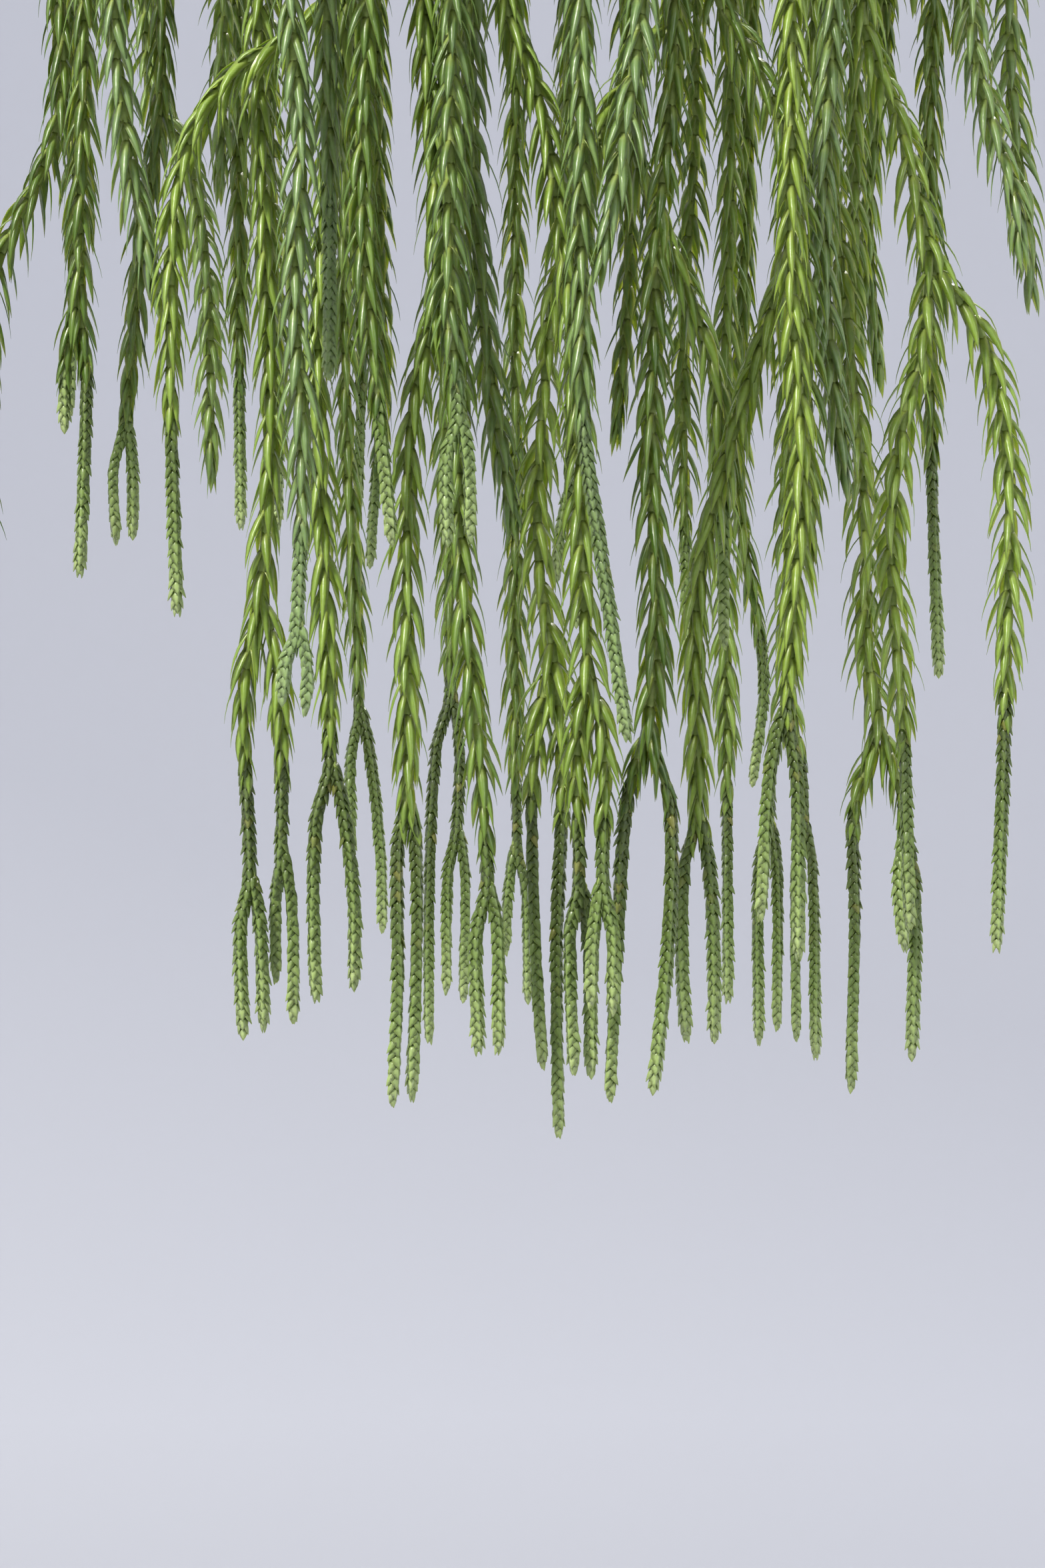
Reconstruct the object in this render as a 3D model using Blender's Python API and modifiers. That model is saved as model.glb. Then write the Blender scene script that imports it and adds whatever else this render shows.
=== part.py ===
"""Hanging potted clubmoss: a plain pot on a three-wire hanger with long drooping forked stems.

The frame: +Z up, metres, origin where the hook bears on whatever it hangs from.  Each stem
starts in its own socket in the potting mix, arches over the rim and hangs down outside the pot,
where it forks in twos.  The leaves and cone scales are left off: each stem solid is its core.
"""

import math
from collections import namedtuple

import bmesh
import bpy
import numpy as np

MM = 0.001

# Overall sizes
HANGER_DROP = 0.240          # hook bearing point down to the top of the rim
RIM_RADIUS = 0.080
POT_HEIGHT = 0.110
LONGEST_DROP = 0.382         # top of the rim down to the lowest stem tip

# Pot
WALL = 0.0026
BASE_THICKNESS = 0.0032
BASE_RADIUS = 0.052
FLANGE_WIDTH = 0.0090
FLANGE_THICKNESS = 0.0032
FOOT_HEIGHT = 0.0024
FOOT_WIDTH = 0.0060
DRAIN_RADIUS = 0.0070
POT_STEPS = 40
EDGE_STEPS = 6               # points round the flange's edge

# Potting mix and the stems' sockets in it
MIX_BELOW_RIM = 0.014
SOCKET_DEPTH = 0.008
GAP = 0.0003                 # clearance that every pair of touching pieces keeps

# Hanger
WIRE_RADIUS = 0.0010
WIRE_COUNT = 3
WIRE_AZIMUTH = 103.0         # first wire, degrees from +X
WIRE_SEAT_RADIUS = 0.0040    # circle that the wires' top ends stand on
WIRE_NECK = 0.0070           # height under the ferrule where the wires have started to spread
WIRE_NECK_SPREAD = 0.0016
EYE_CLEARANCE = 0.0007
EYE_LEAD = 0.0120            # height over the rim where a wire starts to turn down to its eye
EYE_LEAD_OFFSET = 0.0022
EYE_STRAIGHT = 0.0030        # straight length of wire over the eye and under it
LOOP_RADIUS = 0.0019         # turn of a wire's end under the flange
TAIL_GAP = 0.0022            # between that end, turned up again, and the flange
LOOP_STEPS = 5
HOLE_STEPS = 12
FERRULE_RADIUS = 0.0065
FERRULE_HEIGHT = 0.016
FERRULE_SOCKET = 0.006
FERRULE_CHAMFER = 0.001
FERRULE_STEPS = 24
HOOK_WIRE_RADIUS = 0.0017
HOOK_INNER_RADIUS = 0.0105
HOOK_START = 190.0           # the crook's angles about its own centre, degrees from +X
HOOK_END = -58.0
HOOK_STEPS = 17
HOOK_NECK = ((0.42, 0.0042), (0.12, 0.0092), (0.0, 0.0150))  # offset left, drop: see make_hook
HOOK_SHANK = 0.020
HOOK_FREE_END = 0.003        # length of shank that shows under the ferrule

# Stems: the rows they hang in, standing off from the rim, and the tufts they rise from
INNER, MIDDLE, OUTER = 0, 1, 2
STANDOFF = (0.014, 0.025, 0.036)
TUFT_RADIUS = (0.042, 0.029, 0.016)
ARCH_RISE = (0.028, 0.045, 0.062)
ARCH_END_DROP = 0.034        # how far below the rim an arch has come down to its hanging line
TUFT_SPREAD = 0.5            # 0 keeps a tuft in line with its stem, 1 spaces tufts evenly
ARCH_LEAN = 0.004            # how far out of straight up a stem's first stretch leans
BASE_CORE_RADIUS = 0.00125
BASE_FLARE = 0.080           # length over which the core thins from its base
CORE_RADIUS = 0.00095
CONE_RADIUS = 0.00150
TIP_RADIUS = 0.00070
CONE_SWELL = 0.012           # length over which the core swells into the cone
TIP_TAPER = 0.008
SOCKET_LEAD = 0.002          # how far a socket's cutter stands out of the mix
STEM_SIDES = 5
STRAIGHT_STEP = 0.040        # longest facet of a stem where it runs straight
BEND_STEP = 0.36             # and the turn, in radians, that one facet may make instead
ARCH_STEPS = 9
FORK_OVERLAP = 0.004         # how far back up in its parent a second branch starts
CURVE_SAMPLES = 40           # samples of a stem's smooth curve for each of its points

# Plain finishes: colour, roughness, metallic
PLASTIC = ((0.16, 0.155, 0.15), 0.55, 0.0)
SOIL = ((0.07, 0.045, 0.03), 0.95, 0.0)
GREEN = ((0.16, 0.30, 0.07), 0.5, 0.0)
STEEL = ((0.55, 0.55, 0.56), 0.35, 1.0)
MERGE_DISTANCE = 0.00001
SHARP_ANGLE = 35.0

Run = namedtuple("Run", "points forks cone_top")
Stem = namedtuple("Stem", "azimuth row run")
Branch = namedtuple("Branch", "route cone_top")


def run(points, *forks, cone_top=None):
    """One unforked length: points are (x, y) off the hanging line and the height over the
    lowest tip, in millimetres; below cone_top it is a cone, and its forks inherit that."""
    return Run(points, forks, cone_top)


STEMS = [
    Stem(185, OUTER, run([(9, 0, 250), (7, 0, 222), (-6, 0, 192), (-11, 0, 150)],
                         run([(-14, 2, 135), (-15, 3, 74)]),
                         run([(-9, -3, 135), (-8, -3, 88)]), cone_top=120)),
    Stem(225, OUTER, run([(-5, 0, 245), (-3, 0, 215), (4, 0, 177)])),
    Stem(198, MIDDLE, run([(1, 0, 245), (0, 0, 184)],
                          run([(1.5, 0, 165), (0, 0, 121)]),
                          run([(-3, 0, 170), (-3.5, 0, 154)]), cone_top=166)),
    Stem(168, INNER, run([(6, 0, 250), (1, 0, 200), (-3, 0, 160)],
                         run([(-5.5, 0, 148), (-5, 0, 132)]),
                         run([(-1, 0, 148), (-1, 0, 133)]), cone_top=162)),
    Stem(247, INNER, run([(-1, 0, 256), (0, 0, 240)],
                         run([(-5, 0, 200), (-7, 0, 159), (-5.5, 0, 123), (-4.2, 0, 78)],
                             run([(-7, 0, 66), (-7.6, 0, 45), (-7, 0, 28)]),
                             run([(-1, 0, 66), (1, 0, 48), (1, 0, 31)]), cone_top=84),
                         run([(-12, 0, 233), (-24, 0, 225), (-33, 0, 212), (-37, 0, 197),
                              (-38, 0, 160), (-36.5, 0, 110)], cone_top=150))),
    Stem(247, OUTER, run([(-2.5, 0, 235), (-0.5, 0, 205), (-2, 0, 180), (-0.5, 0, 150),
                          (-1.5, 0, 106)],
                         run([(-3.6, 0, 99), (-4.5, 0, 91)]),
                         run([(0.6, 0, 98), (0.4, 0, 89)]), cone_top=126)),
    Stem(247, MIDDLE, run([(0, 0, 240), (0.5, 0, 200), (0.5, 0, 159)], cone_top=196)),
    Stem(235, INNER, run([(-2.6, 0, 240), (-2.6, 0, 215), (0, 0, 156), (-2.5, 0, 113)],
                         run([(-6, 0, 94), (-4.6, 0, 54)],
                             run([(-6.6, 0, 43), (-6, 0, 20)]),
                             run([(-2.4, 0, 43), (-1.6, 0, 22)])),
                         run([(1.8, 0, 94), (2.2, 0, 59)],
                             run([(0.8, 3, 49), (0.8, 3.4, 32)]),
                             run([(4.4, 0, 47), (4.8, 0, 23)])), cone_top=78)),
    Stem(133, MIDDLE, run([(0, 0, 245), (0, 0, 190), (0.5, 0, 139)], cone_top=176)),
    Stem(119, INNER, run([(0, 0, 220), (1, 0, 160), (4, 0, 93)],
                         run([(2, 0, 80), (2, 0, 54)]),
                         run([(7, 0, 80), (9.5, 0, 56), (10, 0, 37)]), cone_top=98)),
    Stem(257, MIDDLE, run([(3, 0, 238), (6, 0, 180), (0.5, 0, 150), (-0.5, 0, 110),
                           (-0.5, 0, 72)],
                          run([(-2.4, 0, 60), (-2.4, 0, 32), (-3.4, 0, 8)]),
                          run([(1.4, 0.5, 60), (1.4, 0.5, 32), (0.6, 0.5, 9)]), cone_top=66)),
    Stem(102, INNER, run([(0, 0, 220), (0, 0, 150), (1, 0, 98)],
                         run([(-2.6, 0, 82), (-4.4, 0, 45), (-4.4, 0, 8)]),
                         run([(3.4, 0, 82), (2.6, 0, 62)],
                             run([(0.4, 0, 50), (0, 0, 21)]),
                             run([(4.8, 0, 50), (4.4, 0, 19)])), cone_top=100)),
    Stem(264, OUTER, run([(-2, 0, 238), (-3, 0, 172), (-1, 0, 150)],
                         run([(-3.4, 0, 140), (-3.2, 0, 123)]),
                         run([(1, 0, 140), (1.4, 0, 124)]), cone_top=158)),
    Stem(263, INNER, run([(0.5, 0, 240), (0.5, 0, 205), (4, 0, 164), (9.6, 0, 128)])),
    Stem(263, MIDDLE, run([(-2, 0, 238), (-1, 0, 180), (0, 0, 120), (4, 0, 76), (5.4, 0, 53)],
                          run([(3.2, 0, 42), (3.6, 0, 18)]),
                          run([(7.6, 0, 42), (7.8, 0, 19)]), cone_top=62)),
    Stem(91, MIDDLE, run([(0, 0, 230), (0, 0, 140), (0.5, 0, 58)],
                         run([(2.8, 0, 45), (3.2, 0, 18)]),
                         run([(-1.8, 0, 46), (-2.6, 0, 30)]), cone_top=72)),
    Stem(292, INNER, run([(-2.5, 0, 240), (-14, 0, 222), (-26, -3, 188), (-30, -5, 164),
                          (-32, -5, 124), (-28.5, -5, 99)],
                         run([(-26.8, -3, 75), (-28, -3, 40), (-27.6, -3, 0)]),
                         run([(-33, -5, 75), (-32.6, -5, 42), (-31, -6.5, 15)]), cone_top=70)),
    Stem(268, MIDDLE, run([(0, 0, 238), (7, 0, 216), (12, 0, 186), (15, 0, 158), (16, 0, 118),
                           (17, 0, 97)],
                          run([(15, 2, 80), (15.4, 3, 53)],
                              run([(13.6, 3, 42), (14.4, 3, 14)]),
                              run([(17.6, 6, 40), (18, 6, 13)])),
                          run([(20.5, 0, 82), (20.4, 0, 53)],
                              run([(22.4, 0, 42), (22.4, 0, 27)]),
                              run([(18.4, 0, 42), (17.9, 0, 28)])), cone_top=66)),
    Stem(276, OUTER, run([(0, 0, 238), (0, 0, 170), (0.5, 0, 146), (3.7, 0, 123),
                          (9.4, 0, 83)], cone_top=148)),
    Stem(283, OUTER, run([(-1.3, 0, 240), (-4, -4, 215), (-10, -9, 180)])),
    Stem(286, MIDDLE, run([(3, 0, 232), (-1, 0, 184), (-2, 0, 140), (-1, 0, 102),
                           (-2.3, 0, 85)],
                          run([(1.8, 0, 69), (1.4, 0, 40), (-1.7, 0, 10)]),
                          run([(-7, 3, 70), (-8.7, 4, 48), (-10.6, 4, 8)]), cone_top=72)),
    Stem(311, INNER, run([(1.5, 0, 236), (2.5, -2, 215), (-8.5, -6, 174), (-18.7, -12, 141),
                          (-24.6, -14, 114), (-24.6, -14, 68)],
                         run([(-27.2, -14, 56), (-27.8, -14, 38), (-26.9, -14, 20)]),
                         run([(-22, -14, 56), (-21, -14, 38), (-20.9, -14, 20)]),
                         cone_top=64)),
    Stem(56, INNER, run([(0, 0, 230), (-2, 0, 150), (-1, 0, 90), (-0.6, 0, 19)], cone_top=72)),
    Stem(299, OUTER, run([(0, 0, 238), (0, 0, 176), (2, 0, 140), (-0.8, 0, 90)],
                         run([(1, 0, 74), (1.4, 0, 38)]),
                         run([(-4.6, 0, 76), (-6.6, 0, 46)]), cone_top=90)),
    Stem(50, MIDDLE, run([(0, 0, 230), (0, 0, 150), (-1, 0, 97)],
                         run([(-4.6, 0, 80), (-5.2, 0, 64)],
                             run([(-7.6, 0, 52), (-7.6, 0, 9)]),
                             run([(-3, 0, 52), (-3, 0, 12)])),
                         run([(3, 0, 80), (3.8, 0, 64)],
                             run([(1.8, 0, 52), (1.9, 0, 10)]),
                             run([(6, 0, 52), (6.8, 0, 5)])), cone_top=82)),
    Stem(309, MIDDLE, run([(0, 0, 235), (-2, 0, 197), (-0.3, 0, 164), (2.8, 0, 138)])),
    Stem(59, OUTER, run([(-2, 0, 225), (-4, 0, 150), (2.5, 0, 102), (-0.3, 0, 74)],
                        cone_top=112)),
    Stem(318, INNER, run([(-4, 6, 238), (0, 8, 190), (5, 8, 140), (6, 8, 102), (8.5, 8, 86)],
                         run([(3.4, 8, 70), (3.2, 8, 42), (2.4, 8, 7)]),
                         run([(13.2, 8, 72), (14, 8, 64)],
                             run([(12.6, 5, 52), (13.8, 4, 38)]),
                             run([(16.6, 10, 50), (16, 10, 14)])), cone_top=68)),
    Stem(315, MIDDLE, run([(-1, 0, 240), (7.5, 2, 215), (15, 4, 186)],
                          run([(26, 8, 170), (31.5, 10, 142), (31, 10, 98), (29, 10, 38)],
                              cone_top=92),
                          run([(12, 1, 168), (7.5, 0, 150), (5, 0, 123), (7.5, 0, 90),
                               (9, -2, 43)], cone_top=84))),
    Stem(14, MIDDLE, run([(-4, 0, 238), (-4, 0, 160), (-2, 0, 100)], cone_top=152)),
    Stem(329, OUTER, run([(-1, 0, 240), (3, 0, 219), (8, 0, 203), (9.5, 0, 190)])),
    Stem(352, OUTER, run([(-4, -8, 240), (-1, -8, 208), (1, -8, 184)])),
    Stem(151, MIDDLE, run([(0, 0, 248), (10, 0, 225), (14, 3, 198), (15, 3, 152)])),
    Stem(124, OUTER, run([(0, 0, 245), (2, 0, 180), (2, 0, 140)], cone_top=164)),
    Stem(254, OUTER, run([(0, 0, 238), (-1, 0, 190), (2, 0, 155), (5, 0, 124)], cone_top=152)),
    Stem(30, INNER, run([(0, 0, 240), (0, 0, 200), (-2, 0, 164)])),
    Stem(76, MIDDLE, run([(2, 0, 240), (2, 0, 200), (-1, 0, 166)])),
    Stem(109, OUTER, run([(0, 0, 230), (1, 0, 180), (-2, 0, 131)], cone_top=158)),
    Stem(297, MIDDLE, run([(-7, 0, 242), (1, 0, 226), (9, 2, 205), (12, 3, 170), (13, 4, 122)])),
    Stem(142, INNER, run([(0, 0, 255), (-1, 1, 224)])),
    Stem(65, MIDDLE, run([(0, 0, 240), (-3, 0, 190), (-2, 0, 106)], cone_top=140)),
    Stem(84, OUTER, run([(0, 0, 240), (2, 0, 190), (0, 0, 150)],
                        run([(2.4, 0, 136), (2, 0, 116)]),
                        run([(-2.4, 0, 138), (-3, 0, 128)]), cone_top=160)),
    Stem(115, MIDDLE, run([(1, 0, 235), (3, 0, 190), (2, 0, 143)], cone_top=178)),
    Stem(40, OUTER, run([(0, 0, 240), (-2, 0, 210), (1, 0, 178)])),
    Stem(180, MIDDLE, run([(0, 0, 240), (1, 0, 205), (-1, 0, 160)], cone_top=192)),
    Stem(282, INNER, run([(4, 9, 244), (5, 13, 208), (14, 15, 184), (22, 18, 160),
                          (24, 20, 104)], cone_top=132)),
    Stem(343, INNER, run([(0, 0, 300), (-1, 2, 256)])),
    Stem(358, MIDDLE, run([(-1, 2, 300), (-2, 6, 250)])),
    Stem(18, OUTER, run([(0, 0, 300), (-5, -3, 252)])),
    Stem(32, MIDDLE, run([(0, -1, 300), (1, -3, 249)])),
    Stem(190, INNER, run([(0, 1, 300), (2, 0, 254)])),
    Stem(206, OUTER, run([(0, 0, 300), (6, 2, 256)])),
    Stem(165, MIDDLE, run([(0, 0, 300), (3, -2, 252)])),
]


def start_clean():
    """Remove whatever objects the file opened with."""
    for thing in list(bpy.data.objects):
        bpy.data.objects.remove(thing, do_unlink=True)


def collection(name):
    """A collection of that name under the scene's own."""
    made = bpy.data.collections.new(name)
    bpy.context.scene.collection.children.link(made)
    return made


def material(name, finish):
    """A Principled material with a plain colour, from (colour, roughness, metallic)."""
    colour, roughness, metallic = finish
    made = bpy.data.materials.new(name)
    made.use_nodes = True
    shader = made.node_tree.nodes["Principled BSDF"]
    shader.inputs["Base Color"].default_value = (*colour, 1.0)
    shader.inputs["Roughness"].default_value = roughness
    shader.inputs["Metallic"].default_value = metallic
    made.diffuse_color = (*colour, 1.0)
    return made


def as_cutter(thing):
    """Mark an object as a guide or cutter that is no part of the model."""
    CUTTERS.objects.link(thing)
    thing.hide_render = True
    thing.display_type = "WIRE"
    return thing


def boolean(target, tool, operation):
    """Cut or join the target with another object."""
    made = target.modifiers.new(operation.title(), "BOOLEAN")
    made.operation = operation
    made.solver = "EXACT"
    made.object = tool
    return made


def applied(thing, group, finish):
    """A mesh object with the modifiers of the given one worked in; the given one is removed."""
    depsgraph = bpy.context.evaluated_depsgraph_get()
    mesh = bpy.data.meshes.new_from_object(thing.evaluated_get(depsgraph))
    made = bpy.data.objects.new(thing.name, mesh)
    name = thing.name
    bpy.data.objects.remove(thing, do_unlink=True)
    made.name = name
    mesh.materials.clear()
    mesh.materials.append(finish)
    group.objects.link(made)
    return made


def turned(name, profile, steps, group, finish):
    """A ring turned about Z from a closed profile of (radius, z), top outer side first."""
    mesh = bpy.data.meshes.new(name)
    points = [(radius, 0.0, z) for radius, z in profile]
    count = len(points)
    mesh.from_pydata(points, [(i, (i + 1) % count) for i in range(count)], [])
    thing = bpy.data.objects.new(name, mesh)
    group.objects.link(thing)
    screw = thing.modifiers.new("Turn", "SCREW")
    screw.steps = steps
    screw.render_steps = steps
    screw.use_merge_vertices = True
    screw.merge_threshold = MERGE_DISTANCE
    mesh.materials.append(finish)
    return thing


def arc(centre, radius, start, end, count):
    """Points on an arc in the (radius, z) plane, angles in degrees."""
    return [(centre[0] + radius * math.cos(math.radians(a)),
             centre[1] + radius * math.sin(math.radians(a)))
            for a in np.linspace(start, end, count)]


def smooth(points, parameters):
    """A cubic curve through the points, its slopes taken over each point's two neighbours;
    a parameter of 2.5 is halfway between the third point and the fourth."""
    points = np.asarray(points, dtype=float)
    lengths = np.linalg.norm(np.diff(points, axis=0), axis=1)
    knots = np.concatenate([[0.0], np.cumsum(lengths)])
    slopes = np.empty_like(points)
    slopes[1:-1] = (points[2:] - points[:-2]) / (knots[2:] - knots[:-2])[:, None]
    slopes[0] = (points[1] - points[0]) / lengths[0]
    slopes[-1] = (points[-1] - points[-2]) / lengths[-1]
    first = np.minimum(parameters.astype(int), len(points) - 2)
    t = (parameters - first)[:, None]
    span = lengths[first][:, None]
    return ((2 * t**3 - 3 * t**2 + 1) * points[first] + (t**3 - 2 * t**2 + t) * span * slopes[first]
            + (3 * t**2 - 2 * t**3) * points[first + 1] + (t**3 - t**2) * span * slopes[first + 1])


def faceted(points):
    """The smooth curve through the points, cut into facets that share its length and its
    turning evenly, so that bends have more of them."""
    fine = smooth(points, np.linspace(0, len(points) - 1, CURVE_SAMPLES * len(points)))
    steps = np.diff(fine, axis=0)
    lengths = np.linalg.norm(steps, axis=1)
    heading = steps / lengths[:, None]
    turns = np.arccos(np.clip((heading[1:] * heading[:-1]).sum(axis=1), -1.0, 1.0))
    effort = lengths / STRAIGHT_STEP + np.concatenate([[0.0], turns]) / BEND_STEP
    spent = np.concatenate([[0.0], np.cumsum(effort)])
    wanted = np.linspace(0.0, spent[-1], max(3, int(round(spent[-1])) + 1))
    return np.stack([np.interp(wanted, spent, fine[:, k]) for k in range(3)], axis=1)


def tube(name, points, radii, section=None, bevel_resolution=3):
    """A closed tube mesh object along the points: round, or with the given section's sides."""
    curve = bpy.data.curves.new(name, "CURVE")
    curve.dimensions = "3D"
    curve.use_fill_caps = True
    if section is None:
        curve.bevel_depth = 1.0
        curve.bevel_resolution = bevel_resolution
    else:
        curve.bevel_mode = "OBJECT"
        curve.bevel_object = section
    spline = curve.splines.new("POLY")
    spline.points.add(len(points) - 1)
    for spot, point, radius in zip(spline.points, points, radii):
        spot.co = (*point, 1.0)
        spot.radius = radius
    thing = bpy.data.objects.new(name, curve)
    CUTTERS.objects.link(thing)
    depsgraph = bpy.context.evaluated_depsgraph_get()
    mesh = bpy.data.meshes.new_from_object(thing.evaluated_get(depsgraph))
    made = bpy.data.objects.new(name, mesh)
    made.matrix_world = thing.matrix_world
    bpy.data.objects.remove(thing, do_unlink=True)
    shell = bmesh.new()
    shell.from_mesh(mesh)
    bmesh.ops.remove_doubles(shell, verts=shell.verts, dist=MERGE_DISTANCE)
    bmesh.ops.recalc_face_normals(shell, faces=shell.faces)
    shell.to_mesh(mesh)
    shell.free()
    made.name = name
    return made


def stem_section():
    """The unit polygon that every stem's tube is swept from."""
    curve = bpy.data.curves.new("stem_section", "CURVE")
    curve.dimensions = "2D"
    spline = curve.splines.new("POLY")
    spline.points.add(STEM_SIDES - 1)
    for number, spot in enumerate(spline.points):
        angle = 2 * math.pi * number / STEM_SIDES
        spot.co = (math.cos(angle), math.sin(angle), 0.0, 1.0)
    spline.use_cyclic_u = True
    return as_cutter(bpy.data.objects.new("stem_section", curve))


def rim_z():
    """Height of the rim's top face."""
    return -HANGER_DROP


def mix_z():
    """Height of the potting mix's surface."""
    return rim_z() - MIX_BELOW_RIM


def wall_radius(z):
    """Outer radius of the pot's wall at a height, between its base and its flange."""
    top = RIM_RADIUS - FLANGE_WIDTH
    share = (z - (rim_z() - POT_HEIGHT)) / POT_HEIGHT
    return BASE_RADIUS + (top - BASE_RADIUS) * share


def eye_radius():
    """Distance of the wires' holes from the pot's axis: the middle of the flange."""
    return RIM_RADIUS - FLANGE_WIDTH / 2


def wire_azimuths():
    """Azimuths of the wires, in radians."""
    return [math.radians(WIRE_AZIMUTH + 360.0 * k / WIRE_COUNT) for k in range(WIRE_COUNT)]


def make_pot(group):
    """The pot: a tapered wall, a flat flange for a rim with three eyes, and a ring foot."""
    top = rim_z()
    bottom = top - POT_HEIGHT
    floor = bottom + FOOT_HEIGHT
    under = top - FLANGE_THICKNESS
    edge = FLANGE_THICKNESS / 2
    inside_top = wall_radius(top) - WALL
    inside_floor = wall_radius(floor + BASE_THICKNESS) - WALL
    profile = arc((RIM_RADIUS - edge, top - edge), edge, 90, -90, EDGE_STEPS)
    profile += [(wall_radius(under), under)]
    profile += [(BASE_RADIUS, bottom), (BASE_RADIUS - FOOT_WIDTH, bottom),
                (BASE_RADIUS - FOOT_WIDTH, floor), (DRAIN_RADIUS, floor),
                (DRAIN_RADIUS, floor + BASE_THICKNESS), (inside_floor, floor + BASE_THICKNESS),
                (inside_top, top)]
    pot = turned("pot", profile, POT_STEPS, group, material("pot_plastic", PLASTIC))
    for number, azimuth in enumerate(wire_azimuths()):
        bpy.ops.mesh.primitive_cylinder_add(
            vertices=HOLE_STEPS, radius=WIRE_RADIUS + EYE_CLEARANCE, depth=4 * FLANGE_THICKNESS,
            location=(eye_radius() * math.cos(azimuth), eye_radius() * math.sin(azimuth), top))
        eye = bpy.context.active_object
        eye.name = f"eye_cutter_{number + 1}"
        eye.users_collection[0].objects.unlink(eye)
        boolean(pot, as_cutter(eye), "DIFFERENCE")


def make_mix(group, cutters):
    """The potting mix: a plug that fills the pot, with a socket for the foot of each stem."""
    top = mix_z()
    floor = rim_z() - POT_HEIGHT + FOOT_HEIGHT + BASE_THICKNESS + GAP
    bpy.ops.mesh.primitive_cone_add(
        vertices=POT_STEPS, radius1=wall_radius(floor) - WALL - 2 * GAP,
        radius2=wall_radius(top) - WALL - 2 * GAP, depth=top - floor,
        location=(0.0, 0.0, (top + floor) / 2))
    mix = bpy.context.active_object
    mix.name = "potting_mix"
    mix.users_collection[0].objects.unlink(mix)
    group.objects.link(mix)
    for cutter in cutters:
        boolean(mix, cutter, "DIFFERENCE")
    mix.data.materials.append(material("potting_mix", SOIL))


def make_ferrule(group, steel):
    """The sleeve that gathers the wires under the hook: a bore for the hook's shank above and
    three sockets for the wires below."""
    top = ferrule_top()
    low = top - FERRULE_HEIGHT
    bore = HOOK_WIRE_RADIUS + GAP
    end_radius = FERRULE_RADIUS - FERRULE_CHAMFER
    profile = [(bore, top), (end_radius, top), (FERRULE_RADIUS, top - FERRULE_CHAMFER),
               (FERRULE_RADIUS, low + FERRULE_CHAMFER), (end_radius, low), (bore, low)]
    ferrule = turned("ferrule", profile, FERRULE_STEPS, group, steel)
    for number, azimuth in enumerate(wire_azimuths()):
        bpy.ops.mesh.primitive_cylinder_add(
            vertices=HOLE_STEPS, radius=WIRE_RADIUS + GAP, depth=2 * FERRULE_SOCKET,
            location=(WIRE_SEAT_RADIUS * math.cos(azimuth), WIRE_SEAT_RADIUS * math.sin(azimuth),
                      low))
        seat = bpy.context.active_object
        seat.name = f"seat_cutter_{number + 1}"
        seat.users_collection[0].objects.unlink(seat)
        boolean(ferrule, as_cutter(seat), "DIFFERENCE")


def ferrule_top():
    """Height of the ferrule's top: the shank's length under the crook's lowest turn."""
    return -2 * HOOK_INNER_RADIUS - HOOK_WIRE_RADIUS - HOOK_SHANK


def make_hook(group, steel):
    """The hook: a crook that bears at the origin, a neck that brings the wire back to the middle
    (each of its points keeps a share of the crook's last offset), and a shank through the
    ferrule."""
    turn = HOOK_INNER_RADIUS + HOOK_WIRE_RADIUS
    crook = arc((0.0, -HOOK_INNER_RADIUS), turn, HOOK_START, HOOK_END, HOOK_STEPS)
    offset, level = crook[-1]
    neck = [(offset * share, level - drop) for share, drop in HOOK_NECK]
    shank = [(0.0, ferrule_top() - FERRULE_HEIGHT / 2),
             (0.0, ferrule_top() - FERRULE_HEIGHT - HOOK_FREE_END)]
    points = [(x, 0.0, z) for x, z in crook + neck + shank]
    hook = tube("hook", points, [HOOK_WIRE_RADIUS] * len(points))
    hook.data.materials.append(steel)
    group.objects.link(hook)


def make_wires(group, steel):
    """The three hanger wires: from the ferrule's sockets out and down to the eyes in the rim,
    through them, and back up in a short tail outside the wall."""
    low = ferrule_top() - FERRULE_HEIGHT
    top = rim_z()
    under = top - FLANGE_THICKNESS
    eye = eye_radius()
    tail = eye + 2 * LOOP_RADIUS
    outline = [(WIRE_SEAT_RADIUS, low + FERRULE_SOCKET - GAP), (WIRE_SEAT_RADIUS, low - WIRE_RADIUS),
               (WIRE_SEAT_RADIUS + WIRE_NECK_SPREAD, low - WIRE_NECK),
               (eye - EYE_LEAD_OFFSET, top + EYE_LEAD), (eye, top + EYE_STRAIGHT)]
    outline += arc((eye + LOOP_RADIUS, under - EYE_STRAIGHT), LOOP_RADIUS, 180, 360, LOOP_STEPS)
    outline += [(tail, under - TAIL_GAP)]
    for number, azimuth in enumerate(wire_azimuths()):
        points = [(r * math.cos(azimuth), r * math.sin(azimuth), z) for r, z in outline]
        wire = tube(f"wire_{number + 1}", points, [WIRE_RADIUS] * len(points), bevel_resolution=2)
        wire.data.materials.append(steel)
        group.objects.link(wire)


def tuft_azimuths():
    """The azimuth that each stem rises at, in degrees: part of the way from its own towards
    an even spacing within its row, so that close stems don't meet at their feet."""
    rises = [0.0] * len(STEMS)
    for row in (INNER, MIDDLE, OUTER):
        members = sorted((i for i, stem in enumerate(STEMS) if stem.row == row),
                         key=lambda i: STEMS[i].azimuth)
        step = 360.0 / len(members)
        phase = sum(STEMS[i].azimuth - step * k for k, i in enumerate(members)) / len(members)
        for k, i in enumerate(members):
            even = phase + step * k
            rises[i] = STEMS[i].azimuth + TUFT_SPREAD * (even - STEMS[i].azimuth)
    return rises


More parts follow.
